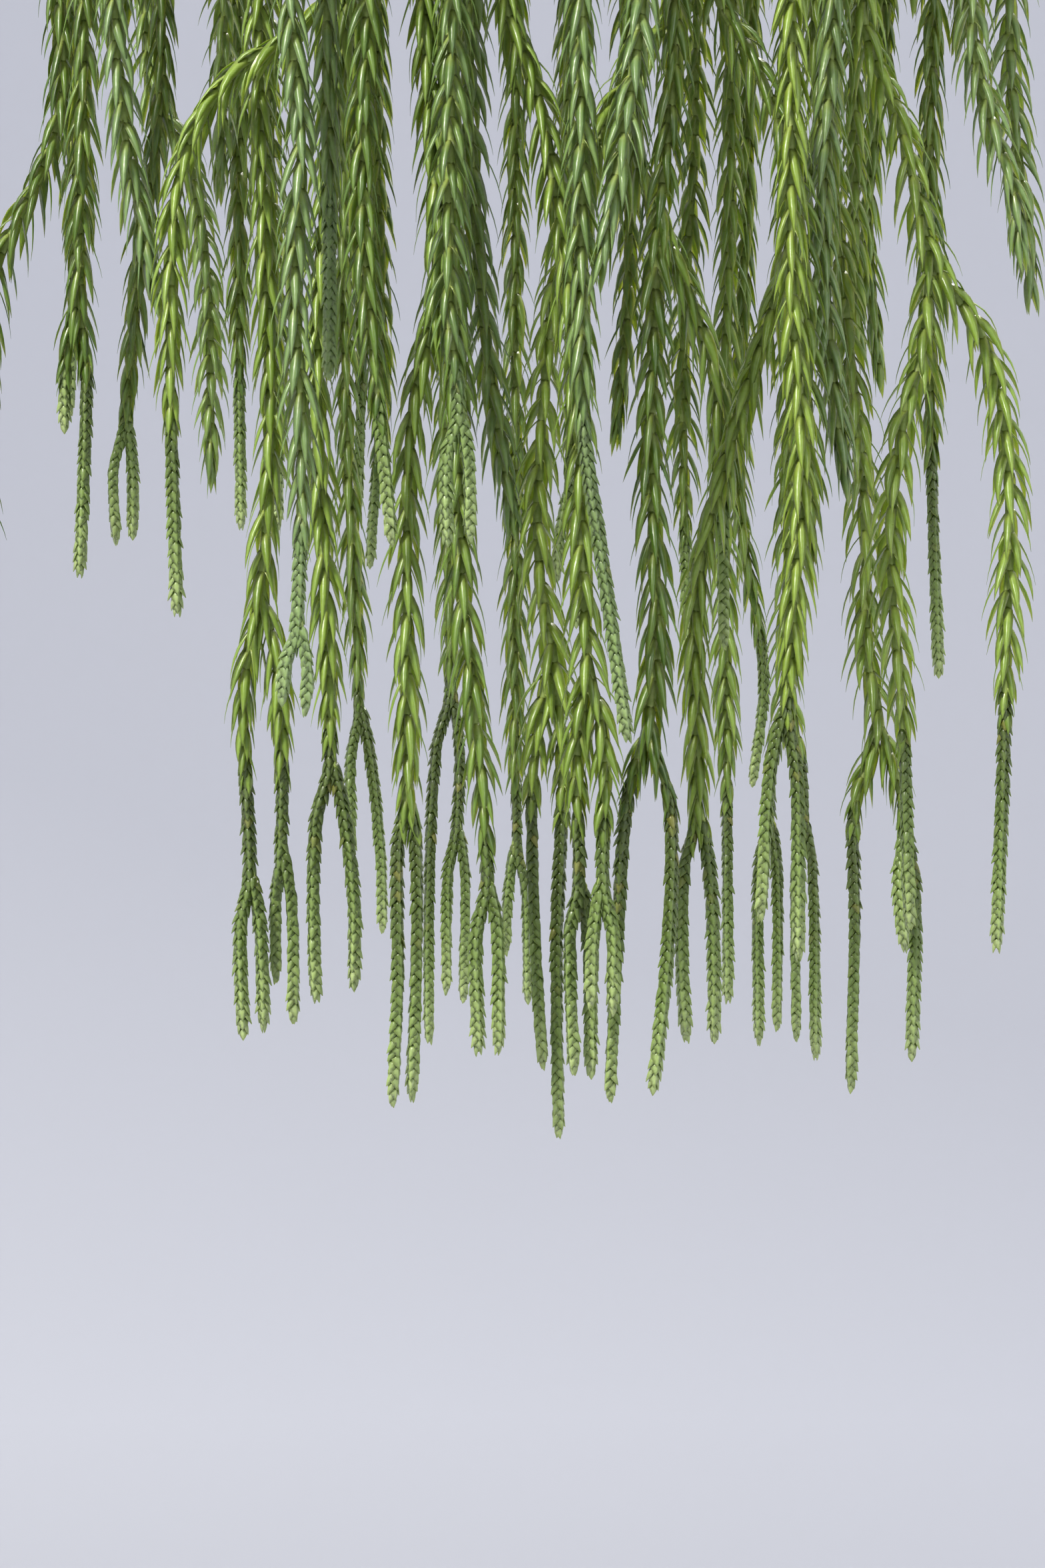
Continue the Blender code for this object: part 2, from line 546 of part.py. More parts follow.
def arch_points(stem, rise):
    """The stem's first stretch: up out of its socket, over the rim and down to its hanging
    line, a cubic curve in radius and height whose azimuth turns evenly with the radius."""
    tuft = TUFT_RADIUS[stem.row]
    line = RIM_RADIUS + STANDOFF[stem.row]
    foot = mix_z()
    end = rim_z() - ARCH_END_DROP
    crest = (8 * (rim_z() + ARCH_RISE[stem.row]) - foot - end) / 6
    t = np.linspace(0.0, 1.0, ARCH_STEPS)
    weights = np.stack([(1 - t)**3, 3 * (1 - t)**2 * t, 3 * (1 - t) * t**2, t**3])
    radius = weights.T @ np.array([tuft, tuft + ARCH_LEAN, line, line])
    height = weights.T @ np.array([foot, crest, crest, end])
    share = (radius - tuft) / (line - tuft)
    azimuth = np.radians(rise + (stem.azimuth - rise) * share)
    over = np.stack([radius * np.cos(azimuth), radius * np.sin(azimuth), height], axis=1)
    sunk = over[0] - (0.0, 0.0, SOCKET_DEPTH - GAP)
    return [sunk, *over]


def hanging(stem, spot):
    """A point of the table as a place: off the stem's hanging line, over the lowest tip."""
    line = RIM_RADIUS + STANDOFF[stem.row]
    azimuth = math.radians(stem.azimuth)
    return (line * math.cos(azimuth) + spot[0] * MM, line * math.sin(azimuth) + spot[1] * MM,
            rim_z() - LONGEST_DROP + spot[2] * MM)


def branches(stem, part, before, cone_top):
    """Every unbroken route of a stem from its start to a tip: a fork's first branch goes on
    from the route above it, and its second starts a little way back up inside that route."""
    if part.cone_top is not None:
        cone_top = part.cone_top
    route = before + [np.array(hanging(stem, spot)) for spot in part.points]
    if not part.forks:
        return [Branch(route, cone_top)]
    found = branches(stem, part.forks[0], route, cone_top)
    up = route[-2] - route[-1]
    start = route[-1] + up / np.linalg.norm(up) * FORK_OVERLAP
    for fork in part.forks[1:]:
        found += branches(stem, fork, [start], cone_top)
    return found


def core_radii(points, cone_top, from_base):
    """Radius at each point: thicker at the base, swelling below cone_top, rounded at the tip."""
    z = points[:, 2]
    left = np.concatenate([np.cumsum(np.linalg.norm(np.diff(points[::-1], axis=0), axis=1))[::-1],
                           [0.0]])
    radii = np.full(len(points), CORE_RADIUS)
    if from_base:
        along = left[0] - left
        radii += (BASE_CORE_RADIUS - CORE_RADIUS) * np.exp(-along / BASE_FLARE)
    if cone_top is not None:
        height = rim_z() - LONGEST_DROP + cone_top * MM
        radii += (CONE_RADIUS - CORE_RADIUS) * np.clip((height - z) / CONE_SWELL, 0.0, 1.0)
    tip = np.clip(left / TIP_TAPER, 0.0, 1.0)
    return TIP_RADIUS + (radii - TIP_RADIUS) * np.sqrt(tip)


def make_stems(group):
    """The stems, and the socket cutter at the foot of each."""
    green = material("stem_green", GREEN)
    section = stem_section()
    sockets = []
    for number, (stem, rise) in enumerate(zip(STEMS, tuft_azimuths())):
        name = f"stem_{number + 1:02d}"
        start = arch_points(stem, rise)
        routes = branches(stem, stem.run, start, None)
        body = None
        for count, branch in enumerate(routes):
            if count == 0:
                points = np.concatenate([[start[0]], faceted(branch.route[1:])])
            else:
                points = faceted(branch.route)
            radii = core_radii(points, branch.cone_top, count == 0)
            piece = tube(f"{name}_branch", points, radii, section)
            if body is None:
                body = piece
                body.name = name
                group.objects.link(body)
                continue
            as_cutter(piece)
            boolean(body, piece, "UNION")
            body = applied(body, group, green)
            bpy.data.objects.remove(piece, do_unlink=True)
        if not body.data.materials:
            body.data.materials.append(green)
        foot = [start[0] - (0.0, 0.0, GAP), start[0] + (0.0, 0.0, SOCKET_DEPTH + SOCKET_LEAD)]
        socket = tube(f"socket_cutter_{number + 1:02d}", foot,
                      [BASE_CORE_RADIUS + 2 * GAP] * 2, section)
        sockets.append(as_cutter(socket))
    return sockets


def shade(group):
    """Shade the rounded pieces smooth, keeping their corners sharp."""
    for thing in group.objects:
        thing.data.shade_smooth()
        thing.data.set_sharp_from_angle(angle=math.radians(SHARP_ANGLE))


start_clean()
PARTS = collection("potted_clubmoss")
CUTTERS = collection("cutters")
HANGER_STEEL = material("hanger_steel", STEEL)
make_pot(PARTS)
make_mix(PARTS, make_stems(PARTS))
make_ferrule(PARTS, HANGER_STEEL)
make_hook(PARTS, HANGER_STEEL)
make_wires(PARTS, HANGER_STEEL)
shade(PARTS)
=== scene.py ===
"""A hanging potted clubmoss: a plain pot on a wire hanger, full of long drooping forked stems.

Everything is in metres in the frame's own axes: +Z up, the origin where the hook bears.
"""

import math
from collections import namedtuple

import bpy
import numpy as np
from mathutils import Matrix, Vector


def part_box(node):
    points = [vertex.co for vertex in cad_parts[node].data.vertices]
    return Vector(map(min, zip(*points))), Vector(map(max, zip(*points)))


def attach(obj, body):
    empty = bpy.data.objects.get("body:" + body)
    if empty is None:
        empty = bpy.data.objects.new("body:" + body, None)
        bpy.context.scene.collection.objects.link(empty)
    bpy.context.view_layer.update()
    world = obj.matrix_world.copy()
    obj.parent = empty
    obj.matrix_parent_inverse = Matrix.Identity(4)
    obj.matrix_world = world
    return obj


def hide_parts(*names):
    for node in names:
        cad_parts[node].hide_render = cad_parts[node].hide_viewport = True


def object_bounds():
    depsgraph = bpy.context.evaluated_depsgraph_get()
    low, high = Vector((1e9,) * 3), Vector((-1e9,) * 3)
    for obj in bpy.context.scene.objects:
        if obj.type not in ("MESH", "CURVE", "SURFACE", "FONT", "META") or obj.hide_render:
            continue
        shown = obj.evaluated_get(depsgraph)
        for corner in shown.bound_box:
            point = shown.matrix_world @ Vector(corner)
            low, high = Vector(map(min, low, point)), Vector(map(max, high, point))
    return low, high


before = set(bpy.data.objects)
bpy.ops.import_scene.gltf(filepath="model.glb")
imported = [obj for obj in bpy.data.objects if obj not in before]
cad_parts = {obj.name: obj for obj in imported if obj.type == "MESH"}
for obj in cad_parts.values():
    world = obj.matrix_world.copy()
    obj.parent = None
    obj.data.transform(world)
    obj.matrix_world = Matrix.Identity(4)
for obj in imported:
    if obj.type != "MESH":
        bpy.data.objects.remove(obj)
cad_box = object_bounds()


# ---- The pot -------------------------------------------------------------------------------
# A plain round pot, moulded in one piece of matt charcoal plastic.  Its wall tapers to a ring
# foot, its rim is a flat flange with three eyes for the wires, and its floor has a drain hole.

RIM_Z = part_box("pot")[1][2]
FOOT_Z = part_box("pot")[0][2]
RIM_RADIUS = 0.080
FLANGE_WIDTH = 0.0090
FLANGE_THICKNESS = 0.0032
WALL = 0.0026
BASE_RADIUS = 0.052
FOOT_HEIGHT = 0.0024
FOOT_WIDTH = 0.0060
BASE_THICKNESS = 0.0032
DRAIN_RADIUS = 0.0070
EYE_RADIUS = 0.0017
EYE_CIRCLE = RIM_RADIUS - FLANGE_WIDTH / 2
SOFT_EDGE = 0.0008
BAND_STEP = 0.00035
BANDS = (0.30, 0.62)
FOOT_LIP = 0.0004
WIRE_AZIMUTHS = np.radians([103.0, 223.0, 343.0])


def grid_faces(rows, corners, closed_along, capped):
    """Faces of a grid of points carried round and along: each face joins corner j and j + 1 of
    rows i and i + 1; the corners close on themselves, the rows too or the end rows are capped."""
    row = np.arange(rows if closed_along else rows - 1)[:, None]
    corner = np.arange(corners)[None, :]
    ahead = (row + 1) % rows
    beside = (corner + 1) % corners
    quads = np.stack([row * corners + corner, row * corners + beside,
                      ahead * corners + beside, ahead * corners + corner], axis=-1)
    caps = np.empty((0, corners), dtype=int)
    if capped and not closed_along:
        first = np.arange(corners)[::-1]
        last = (rows - 1) * corners + np.arange(corners)
        caps = np.stack([first, last])
    return quads.reshape(-1, 4), caps


def grid_piece(name, grids, finish, closed_along=False, capped=True):
    """One mesh object from closed bodies of one kind: grids[n, i, j] is the place of corner j in
    row i of body n.  The bodies are turned outwards by the sign of their volume."""
    grids = np.asarray(grids, dtype=float)
    if grids.ndim == 3:
        grids = grids[None]
    count, rows, corners = grids.shape[:3]
    quads, caps = grid_faces(rows, corners, closed_along, capped)
    flat = grids.reshape(count, -1, 3)
    first = flat[0] - flat[0].mean(axis=0)
    a, b, c, d = (first[quads[:, k]] for k in range(4))
    volume = (a * np.cross(b, c)).sum() + (a * np.cross(c, d)).sum()
    if volume < 0:
        quads, caps = quads[:, ::-1], caps[:, ::-1]
    shift = (np.arange(count) * rows * corners)[:, None]
    loops = np.concatenate([(quads.reshape(1, -1) + shift), (caps.reshape(1, -1) + shift)], axis=1)
    sizes = np.tile(np.concatenate([np.full(len(quads), 4), np.full(len(caps), corners)]), count)
    mesh = bpy.data.meshes.new(name)
    mesh.vertices.add(count * rows * corners)
    mesh.vertices.foreach_set("co", flat.reshape(-1))
    mesh.loops.add(loops.size)
    mesh.loops.foreach_set("vertex_index", loops.reshape(-1).astype(np.int32))
    mesh.polygons.add(len(sizes))
    starts = np.concatenate([[0], np.cumsum(sizes)[:-1]])
    mesh.polygons.foreach_set("loop_start", starts.astype(np.int32))
    mesh.update(calc_edges=True)
    mesh.shade_smooth()
    mesh.materials.append(finish)
    piece = bpy.data.objects.new(name, mesh)
    bpy.context.scene.collection.objects.link(piece)
    return piece


def turned(outline, steps):
    """A turned body's grid: every point (radius, height) of its outline carried round +Z."""
    outline = np.asarray(outline, dtype=float)
    angle = np.linspace(0.0, 2 * np.pi, steps, endpoint=False)
    radius, height = outline[:, 0:1], outline[:, 1:2]
    return np.stack([radius * np.cos(angle), radius * np.sin(angle),
                     height + 0 * angle], axis=-1)


def new_finish(name, **sockets):
    """A Principled material with constant values on its own sockets."""
    made = bpy.data.materials.new(name)
    made.use_nodes = True
    shader = made.node_tree.nodes["Principled BSDF"]
    for socket, value in sockets.items():
        shader.inputs[socket.replace("_", " ")].default_value = value
    return made


def node(finish, kind, settings=None, **inputs):
    """A new node in the finish; an input is a value, or another node's output to link."""
    tree = finish.node_tree
    made = tree.nodes.new(kind)
    for key, value in (settings or {}).items():
        setattr(made, key, value)
    for key, value in inputs.items():
        socket = made.inputs[int(key[1:])] if key[1:].isdigit() else made.inputs[key]
        if isinstance(value, bpy.types.NodeSocket):
            tree.links.new(value, socket)
        else:
            socket.default_value = value
    return made


def noise(finish, scale, detail=2.0, place=None):
    """Noise on the piece's own coordinates, about evenly spread round one half."""
    if place is None:
        place = node(finish, "ShaderNodeTexCoord").outputs["Object"]
    return node(finish, "ShaderNodeTexNoise", Vector=place, Scale=scale,
                Detail=detail).outputs["Fac"]


def mixed(finish, share, first, second):
    """The second colour laid over the first by the share."""
    made = node(finish, "ShaderNodeMix", {"data_type": "RGBA"}, i0=share, i6=first, i7=second)
    return made.outputs[2]


def spread(finish, value, low, high, to_low=0.0, to_high=1.0):
    """A value's range from low to high, mapped to another range and kept inside it."""
    return node(finish, "ShaderNodeMapRange", i0=value, i1=low, i2=high, i3=to_low,
                i4=to_high).outputs[0]


def bump(finish, height, distance, strength=1.0):
    """Small relief from a height, in metres of distance, on the finish's own shader."""
    made = node(finish, "ShaderNodeBump", Height=height, Distance=distance, Strength=strength)
    finish.node_tree.links.new(made.outputs["Normal"], shader_of(finish).inputs["Normal"])


def shader_of(finish):
    """The finish's Principled shader."""
    return finish.node_tree.nodes["Principled BSDF"]


def colour(finish, source):
    """The finish's base colour from a node's output."""
    finish.node_tree.links.new(source, shader_of(finish).inputs["Base Color"])


def roughness(finish, source):
    """The finish's roughness from a node's output."""
    finish.node_tree.links.new(source, shader_of(finish).inputs["Roughness"])


def arc(radius, height, size, start, end, count):
    """Points (radius, height) round a rounded corner, angles in degrees."""
    angle = np.radians(np.linspace(start, end, count))
    return [(radius + size * math.cos(a), height + size * math.sin(a)) for a in angle]


def pot_finish():
    """Matt moulded plastic: a fine grain, faint drag marks down the wall, uneven dark grey."""
    finish = new_finish("pot_plastic", IOR=1.46)
    place = node(finish, "ShaderNodeTexCoord").outputs["Object"]
    long = node(finish, "ShaderNodeMapping", Vector=place, Scale=(1.0, 1.0, 0.06)).outputs[0]
    drags = noise(finish, 900.0, 2.0, long)
    patches = noise(finish, 28.0, 5.0, place)
    base = mixed(finish, spread(finish, patches, 0.35, 0.7), (0.052, 0.053, 0.052, 1),
                 (0.078, 0.078, 0.075, 1))
    colour(finish, mixed(finish, spread(finish, drags, 0.55, 0.8, 0.0, 0.25), base,
                         (0.13, 0.13, 0.125, 1)))
    roughness(finish, spread(finish, patches, 0.3, 0.7, 0.42, 0.6))
    bump(finish, noise(finish, 2600.0, 3.0, place), 0.00012, 0.5)
    return finish


def wall_radius(z):
    """The wall's outer radius, straight from the foot to the top."""
    top = RIM_RADIUS - FLANGE_WIDTH
    return BASE_RADIUS + (top - BASE_RADIUS) * (z - FOOT_Z) / (RIM_Z - FOOT_Z)


def pot_outline():
    """Half a section of the pot: over the flange, down the wall with its two raised bands,
    round the foot and the drain hole, and back up inside."""
    edge = FLANGE_THICKNESS / 2
    under = RIM_Z - FLANGE_THICKNESS
    floor = FOOT_Z + FOOT_HEIGHT
    soft = SOFT_EDGE
    line = arc(RIM_RADIUS - edge, RIM_Z - edge, edge, 90, -90, 9)
    line += arc(wall_radius(under) + soft, under - soft, soft, 90, 180, 4)
    for share in BANDS:
        ring = under + (FOOT_Z - under) * share
        proud = wall_radius(ring) + BAND_STEP
        line += [(wall_radius(ring + 2 * soft), ring + 2 * soft), (proud, ring + soft),
                 (proud, ring), (wall_radius(ring - soft), ring - soft)]
    line += arc(BASE_RADIUS - 2 * soft + FOOT_LIP, FOOT_Z + 2 * soft, 2 * soft, 0, -90, 5)
    line += arc(BASE_RADIUS - FOOT_WIDTH + soft, FOOT_Z + soft, soft, -90, -180, 4)
    line += [(BASE_RADIUS - FOOT_WIDTH, floor)]
    line += arc(DRAIN_RADIUS + soft, floor + soft, soft, -90, -180, 4)
    line += arc(DRAIN_RADIUS + soft, floor + BASE_THICKNESS - soft, soft, 180, 90, 4)
    inner = wall_radius(floor + BASE_THICKNESS) - WALL
    line += arc(inner - 2 * soft, floor + BASE_THICKNESS + 2 * soft, 2 * soft, -90, 0, 5)
    line += arc(wall_radius(RIM_Z) - WALL + soft, RIM_Z - soft, soft, 180, 90, 4)
    return line


def cut_eyes(piece):
    """Drill the three eyes through the flange, with one Boolean whose result is kept."""
    rings = [turned([(EYE_RADIUS, RIM_Z + 0.004), (EYE_RADIUS, RIM_Z - 0.008)], 24)
             + np.array([EYE_CIRCLE * math.cos(a), EYE_CIRCLE * math.sin(a), 0.0])
             for a in WIRE_AZIMUTHS]
    drill = grid_piece("eye_drill", np.stack(rings), piece.data.materials[0])
    cut = piece.modifiers.new("Eyes", "BOOLEAN")
    cut.operation = "DIFFERENCE"
    cut.object = drill
    depsgraph = bpy.context.evaluated_depsgraph_get()
    drilled = bpy.data.meshes.new_from_object(piece.evaluated_get(depsgraph))
    piece.modifiers.clear()
    piece.data = drilled
    bpy.data.objects.remove(drill)


pot = grid_piece("plastic_pot", turned(pot_outline(), 128), pot_finish(), closed_along=True)
cut_eyes(pot)
pot.data.set_sharp_from_angle(angle=math.radians(40))
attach(pot, "root")
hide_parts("pot")


# ---- The potting mix -----------------------------------------------------------------------
# A coarse epiphyte mix: damp bark chips and fibre that fill the pot to just under the rim,
# heaped a little in the middle, with cushions of moss grown over it between the stems' feet.

MIX_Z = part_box("potting_mix")[1][2]
MIX_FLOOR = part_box("potting_mix")[0][2]
MIX_HEAP = 0.006
MIX_SETTLE = 0.001
COARSE_LUMPS = (0.0012, 0.022)
FINE_LUMPS = (0.0005, 0.006)
GAP = 0.0006
CHIPS = 420
MOSS_CUSHIONS = 26
MOSS_SHOOTS = 2600


def ramp(finish, value, stops):
    """Colours along a value: stops are (position, (red, green, blue))."""
    made = node(finish, "ShaderNodeValToRGB", Fac=value)
    band = made.color_ramp
    while len(band.elements) < len(stops):
        band.elements.new(1.0)
    for element, (position, colour) in zip(band.elements, stops):
        element.position = position
        element.color = (*colour, 1.0)
    return made.outputs["Color"]


def maths(finish, operation, first, second=0.0):
    """A sum, product or other step of two numbers."""
    return node(finish, "ShaderNodeMath", {"operation": operation}, i0=first, i1=second).outputs[0]


def unit(vectors):
    """The vectors at length one."""
    return vectors / np.linalg.norm(vectors, axis=-1, keepdims=True)


def lumps(x, y, size, seed):
    """Smooth random lumps: a sum of twelve sine waves in random directions, about -1 to 1."""
    draw = np.random.default_rng(seed)
    angle = draw.uniform(0, 2 * np.pi, 12)
    wave = draw.uniform(0.6, 1.7, 12) * 2 * np.pi / size
    phase = draw.uniform(0, 2 * np.pi, 12)
    along = x[..., None] * np.cos(angle) + y[..., None] * np.sin(angle)
    return np.sin(along * wave + phase).sum(axis=-1) / 4.0


def mix_height(x, y):
    """Height of the mix's surface: a heap that falls off with the square of the distance from
    its middle, less what has settled, with coarse and fine lumps (height, size) on it."""
    out = np.hypot(x, y) / (wall_radius(MIX_Z) - WALL)
    coarse = COARSE_LUMPS[0] * lumps(x, y, COARSE_LUMPS[1], 3)
    fine = FINE_LUMPS[0] * lumps(x, y, FINE_LUMPS[1], 4)
    return MIX_Z + MIX_HEAP * np.clip(1 - out**2, 0, 1) + coarse + fine - MIX_SETTLE


def mix_grid(steps, rings):
    """The mix as a grid: from the middle of its top out to the wall, down and back underneath."""
    top_radius = wall_radius(MIX_Z) - WALL - GAP
    low_radius = wall_radius(MIX_FLOOR) - WALL - GAP
    top = turned([(r, 0.0) for r in np.linspace(0.0004, top_radius, rings)], steps)
    top[..., 2] = mix_height(top[..., 0], top[..., 1])
    low = turned([(low_radius, MIX_FLOOR + 0.001), (low_radius - 0.001, MIX_FLOOR),
                  (0.0004, MIX_FLOOR)], steps)
    return np.concatenate([top, low])


def earth_finish():
    """Damp brown mix: dark crumbs with paler flecks of fibre, and patches of green algae."""
    finish = new_finish("potting_mix", IOR=1.4)
    crumbs = noise(finish, 420.0, 6.0)
    patches = noise(finish, 60.0, 4.0)
    base = ramp(finish, crumbs, [(0.30, (0.012, 0.007, 0.004)), (0.5, (0.05, 0.028, 0.014)),
                                 (0.68, (0.13, 0.08, 0.045))])
    colour(finish, mixed(finish, spread(finish, patches, 0.5, 0.62), base,
                         (0.035, 0.055, 0.012, 1)))
    roughness(finish, spread(finish, crumbs, 0.3, 0.7, 0.95, 0.6))
    bump(finish, crumbs, 0.0012, 0.8)
    return finish


def bark_finish():
    """Split pine bark: brown with a dark grain, and greyer where it has weathered."""
    finish = new_finish("bark_chips", Roughness=0.8)
    place = node(finish, "ShaderNodeTexCoord").outputs["Object"]
    grain = node(finish, "ShaderNodeMapping", Vector=place, Scale=(1.0, 1.0, 5.0)).outputs[0]
    lines = noise(finish, 380.0, 5.0, grain)
    whole = noise(finish, 130.0, 1.0, place)
    base = ramp(finish, lines, [(0.32, (0.02, 0.011, 0.007)), (0.5, (0.085, 0.045, 0.024)),
                                (0.7, (0.19, 0.115, 0.07))])
    colour(finish, mixed(finish, spread(finish, whole, 0.48, 0.58, 0.0, 0.6), base,
                         (0.075, 0.062, 0.05, 1)))
    bump(finish, lines, 0.0006, 0.8)
    return finish


def scattered(count, reach, seed):
    """Random places on the mix out to a reach, evenly spread over its area."""
    draw = np.random.default_rng(seed)
    radius = reach * np.sqrt(draw.uniform(0, 1, count))
    angle = draw.uniform(0, 2 * np.pi, count)
    x, y = radius * np.cos(angle), radius * np.sin(angle)
    return np.stack([x, y, mix_height(x, y)], axis=-1), draw


def random_axes(draw, count, lean):
    """Three square axes for each body: turned at random about +Z and tilted by up to lean."""
    turn = draw.uniform(0, 2 * np.pi, count)
    tilt = draw.uniform(-lean, lean, (2, count))
    up = unit(np.stack([np.sin(tilt[0]), np.sin(tilt[1]), np.ones(count)], axis=-1))
    ahead = np.stack([np.cos(turn), np.sin(turn), np.zeros(count)], axis=-1)
    ahead = unit(ahead - up * (ahead * up).sum(axis=-1, keepdims=True))
    return ahead, np.cross(up, ahead), up


def chip_grids():
    """Bark chips: squarish pebbles, each a ring of six corners carried through five rows whose
    size follows a rounded block, then stretched, tilted and half sunk in the mix."""
    spots, draw = scattered(CHIPS, wall_radius(MIX_Z) - WALL - 0.006, 11)
    ahead, beside, up = random_axes(draw, CHIPS, 0.5)
    row = np.array([-1.0, -0.86, 0.0, 0.86, 1.0])
    swell = np.array([0.55, 0.95, 1.0, 0.92, 0.5])
    angle = np.linspace(0, 2 * np.pi, 6, endpoint=False)
    rough = draw.uniform(0.75, 1.2, (CHIPS, 1, 6))
    across = swell[None, :, None] * rough
    size = draw.uniform(0.0016, 0.0040, (CHIPS, 1, 1, 1))
    flat = draw.uniform(0.35, 0.6, (CHIPS, 1, 1, 1))
    shape = (ahead[:, None, None] * (row[None, :, None, None] * 1.5)
             + beside[:, None, None] * (across * np.cos(angle))[..., None]
             + up[:, None, None] * (across * np.sin(angle))[..., None] * flat)
    return spots[:, None, None] + size * shape + np.array([0, 0, 0.0006])


def moss_finish():
    """Cushion moss: bright yellow-green at the shoots' ends, dark olive underneath."""
    finish = new_finish("cushion_moss", Roughness=0.75)
    height = node(finish, "ShaderNodeSeparateXYZ",
                  Vector=node(finish, "ShaderNodeTexCoord").outputs["Object"]).outputs["Z"]
    patch = noise(finish, 1500.0, 2.0)
    lift = maths(finish, "ADD", spread(finish, height, MIX_Z, MIX_Z + MIX_HEAP + 0.004, 0.0, 0.6),
                 spread(finish, patch, 0.3, 0.7, 0.0, 0.4))
    colour(finish, ramp(finish, lift, [(0.1, (0.030, 0.050, 0.008)), (0.6, (0.10, 0.17, 0.02)),
                                       (1.0, (0.23, 0.32, 0.05))]))
    bump(finish, patch, 0.0003, 0.8)
    return finish


def moss_grids():
    """Moss: small tapering shoots of four corners a row, crowded towards the middles of their
    cushions, which stand highest there; they lean outwards from them."""
    draw = np.random.default_rng(21)
    reach = wall_radius(MIX_Z) - WALL - 0.004
    middles, _ = scattered(MOSS_CUSHIONS, reach - 0.008, 22)
    cushion = draw.integers(0, MOSS_CUSHIONS, MOSS_SHOOTS)
    size = draw.uniform(0.004, 0.0085, MOSS_CUSHIONS)[cushion]
    offset = draw.normal(0, 0.55, (MOSS_SHOOTS, 2))
    spot = middles[cushion, :2] + offset * size[:, None]
    spot *= np.minimum(1.0, reach / np.hypot(spot[:, 0], spot[:, 1]))[:, None]
    rise = np.exp(-(offset**2).sum(axis=1)) * draw.uniform(0.6, 1.1, MOSS_SHOOTS)
    height = 0.0014 + 0.0040 * rise
    lean = offset * 0.5 + draw.normal(0, 0.2, (MOSS_SHOOTS, 2))
    row = np.array([0.0, 0.4, 0.8, 1.0])
    width = np.array([0.00045, 0.00060, 0.00045, 0.00006])
    angle = np.linspace(0, 2 * np.pi, 4, endpoint=False) + 0.4
    foot = mix_height(spot[:, 0], spot[:, 1]) - 0.0008
    x = (spot[:, 0, None, None] + (lean[:, 0:1] * height[:, None] * row**2)[..., None]
         + width[None, :, None] * np.cos(angle))
    y = (spot[:, 1, None, None] + (lean[:, 1:2] * height[:, None] * row**2)[..., None]
         + width[None, :, None] * np.sin(angle))
    z = (foot[:, None] + height[:, None] * row)[..., None] + 0 * x
    return np.stack([x, y, z], axis=-1)


mix = grid_piece("mix_surface", mix_grid(160, 70), earth_finish())
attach(mix, "root")
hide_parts("potting_mix")

chips = grid_piece("bark_chips", chip_grids(), bark_finish())
chips.data.set_sharp_from_angle(angle=math.radians(50))
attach(chips, "root")

moss = grid_piece("cushion_moss", moss_grids(), moss_finish())
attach(moss, "root")


# ---- The stems -----------------------------------------------------------------------------
# The living shoots: each starts in the mix, arches over the rim and hangs outside the pot,
# forking in twos.  Here the bare green cores, ridged where the leaves' bases run down them.

MM = 0.001
INNER, MIDDLE, OUTER = 0, 1, 2
STANDOFF = (0.014, 0.025, 0.036)
TUFT_RADIUS = (0.042, 0.029, 0.016)
ARCH_RISE = (0.028, 0.045, 0.062)
ARCH_END_DROP = 0.034
TUFT_SPREAD = 0.5
LONGEST_DROP = 0.382
ARCH_STEPS = 9
FORK_OVERLAP = 0.004
CORE_RADIUS = 0.00098
CORE_FLARE = 0.00035
CORE_FLARE_REACH = 0.08
CONE_CORE_LOSS = 0.00012
ROUND_END = 0.006
CORE_ROW = 0.0030
RIDGES = 3
RIDGE_HEIGHT = 0.10

Run = namedtuple("Run", "points forks cone_top")
Stem = namedtuple("Stem", "azimuth row run")
Branch = namedtuple("Branch", "route cone_top first")


def run(points, *forks, cone_top=None):
    """One unforked length: points are (x, y) off the hanging line and the height over the
    lowest tip, in millimetres; below cone_top it is a cone, and its forks inherit that."""
    return Run(points, forks, cone_top)


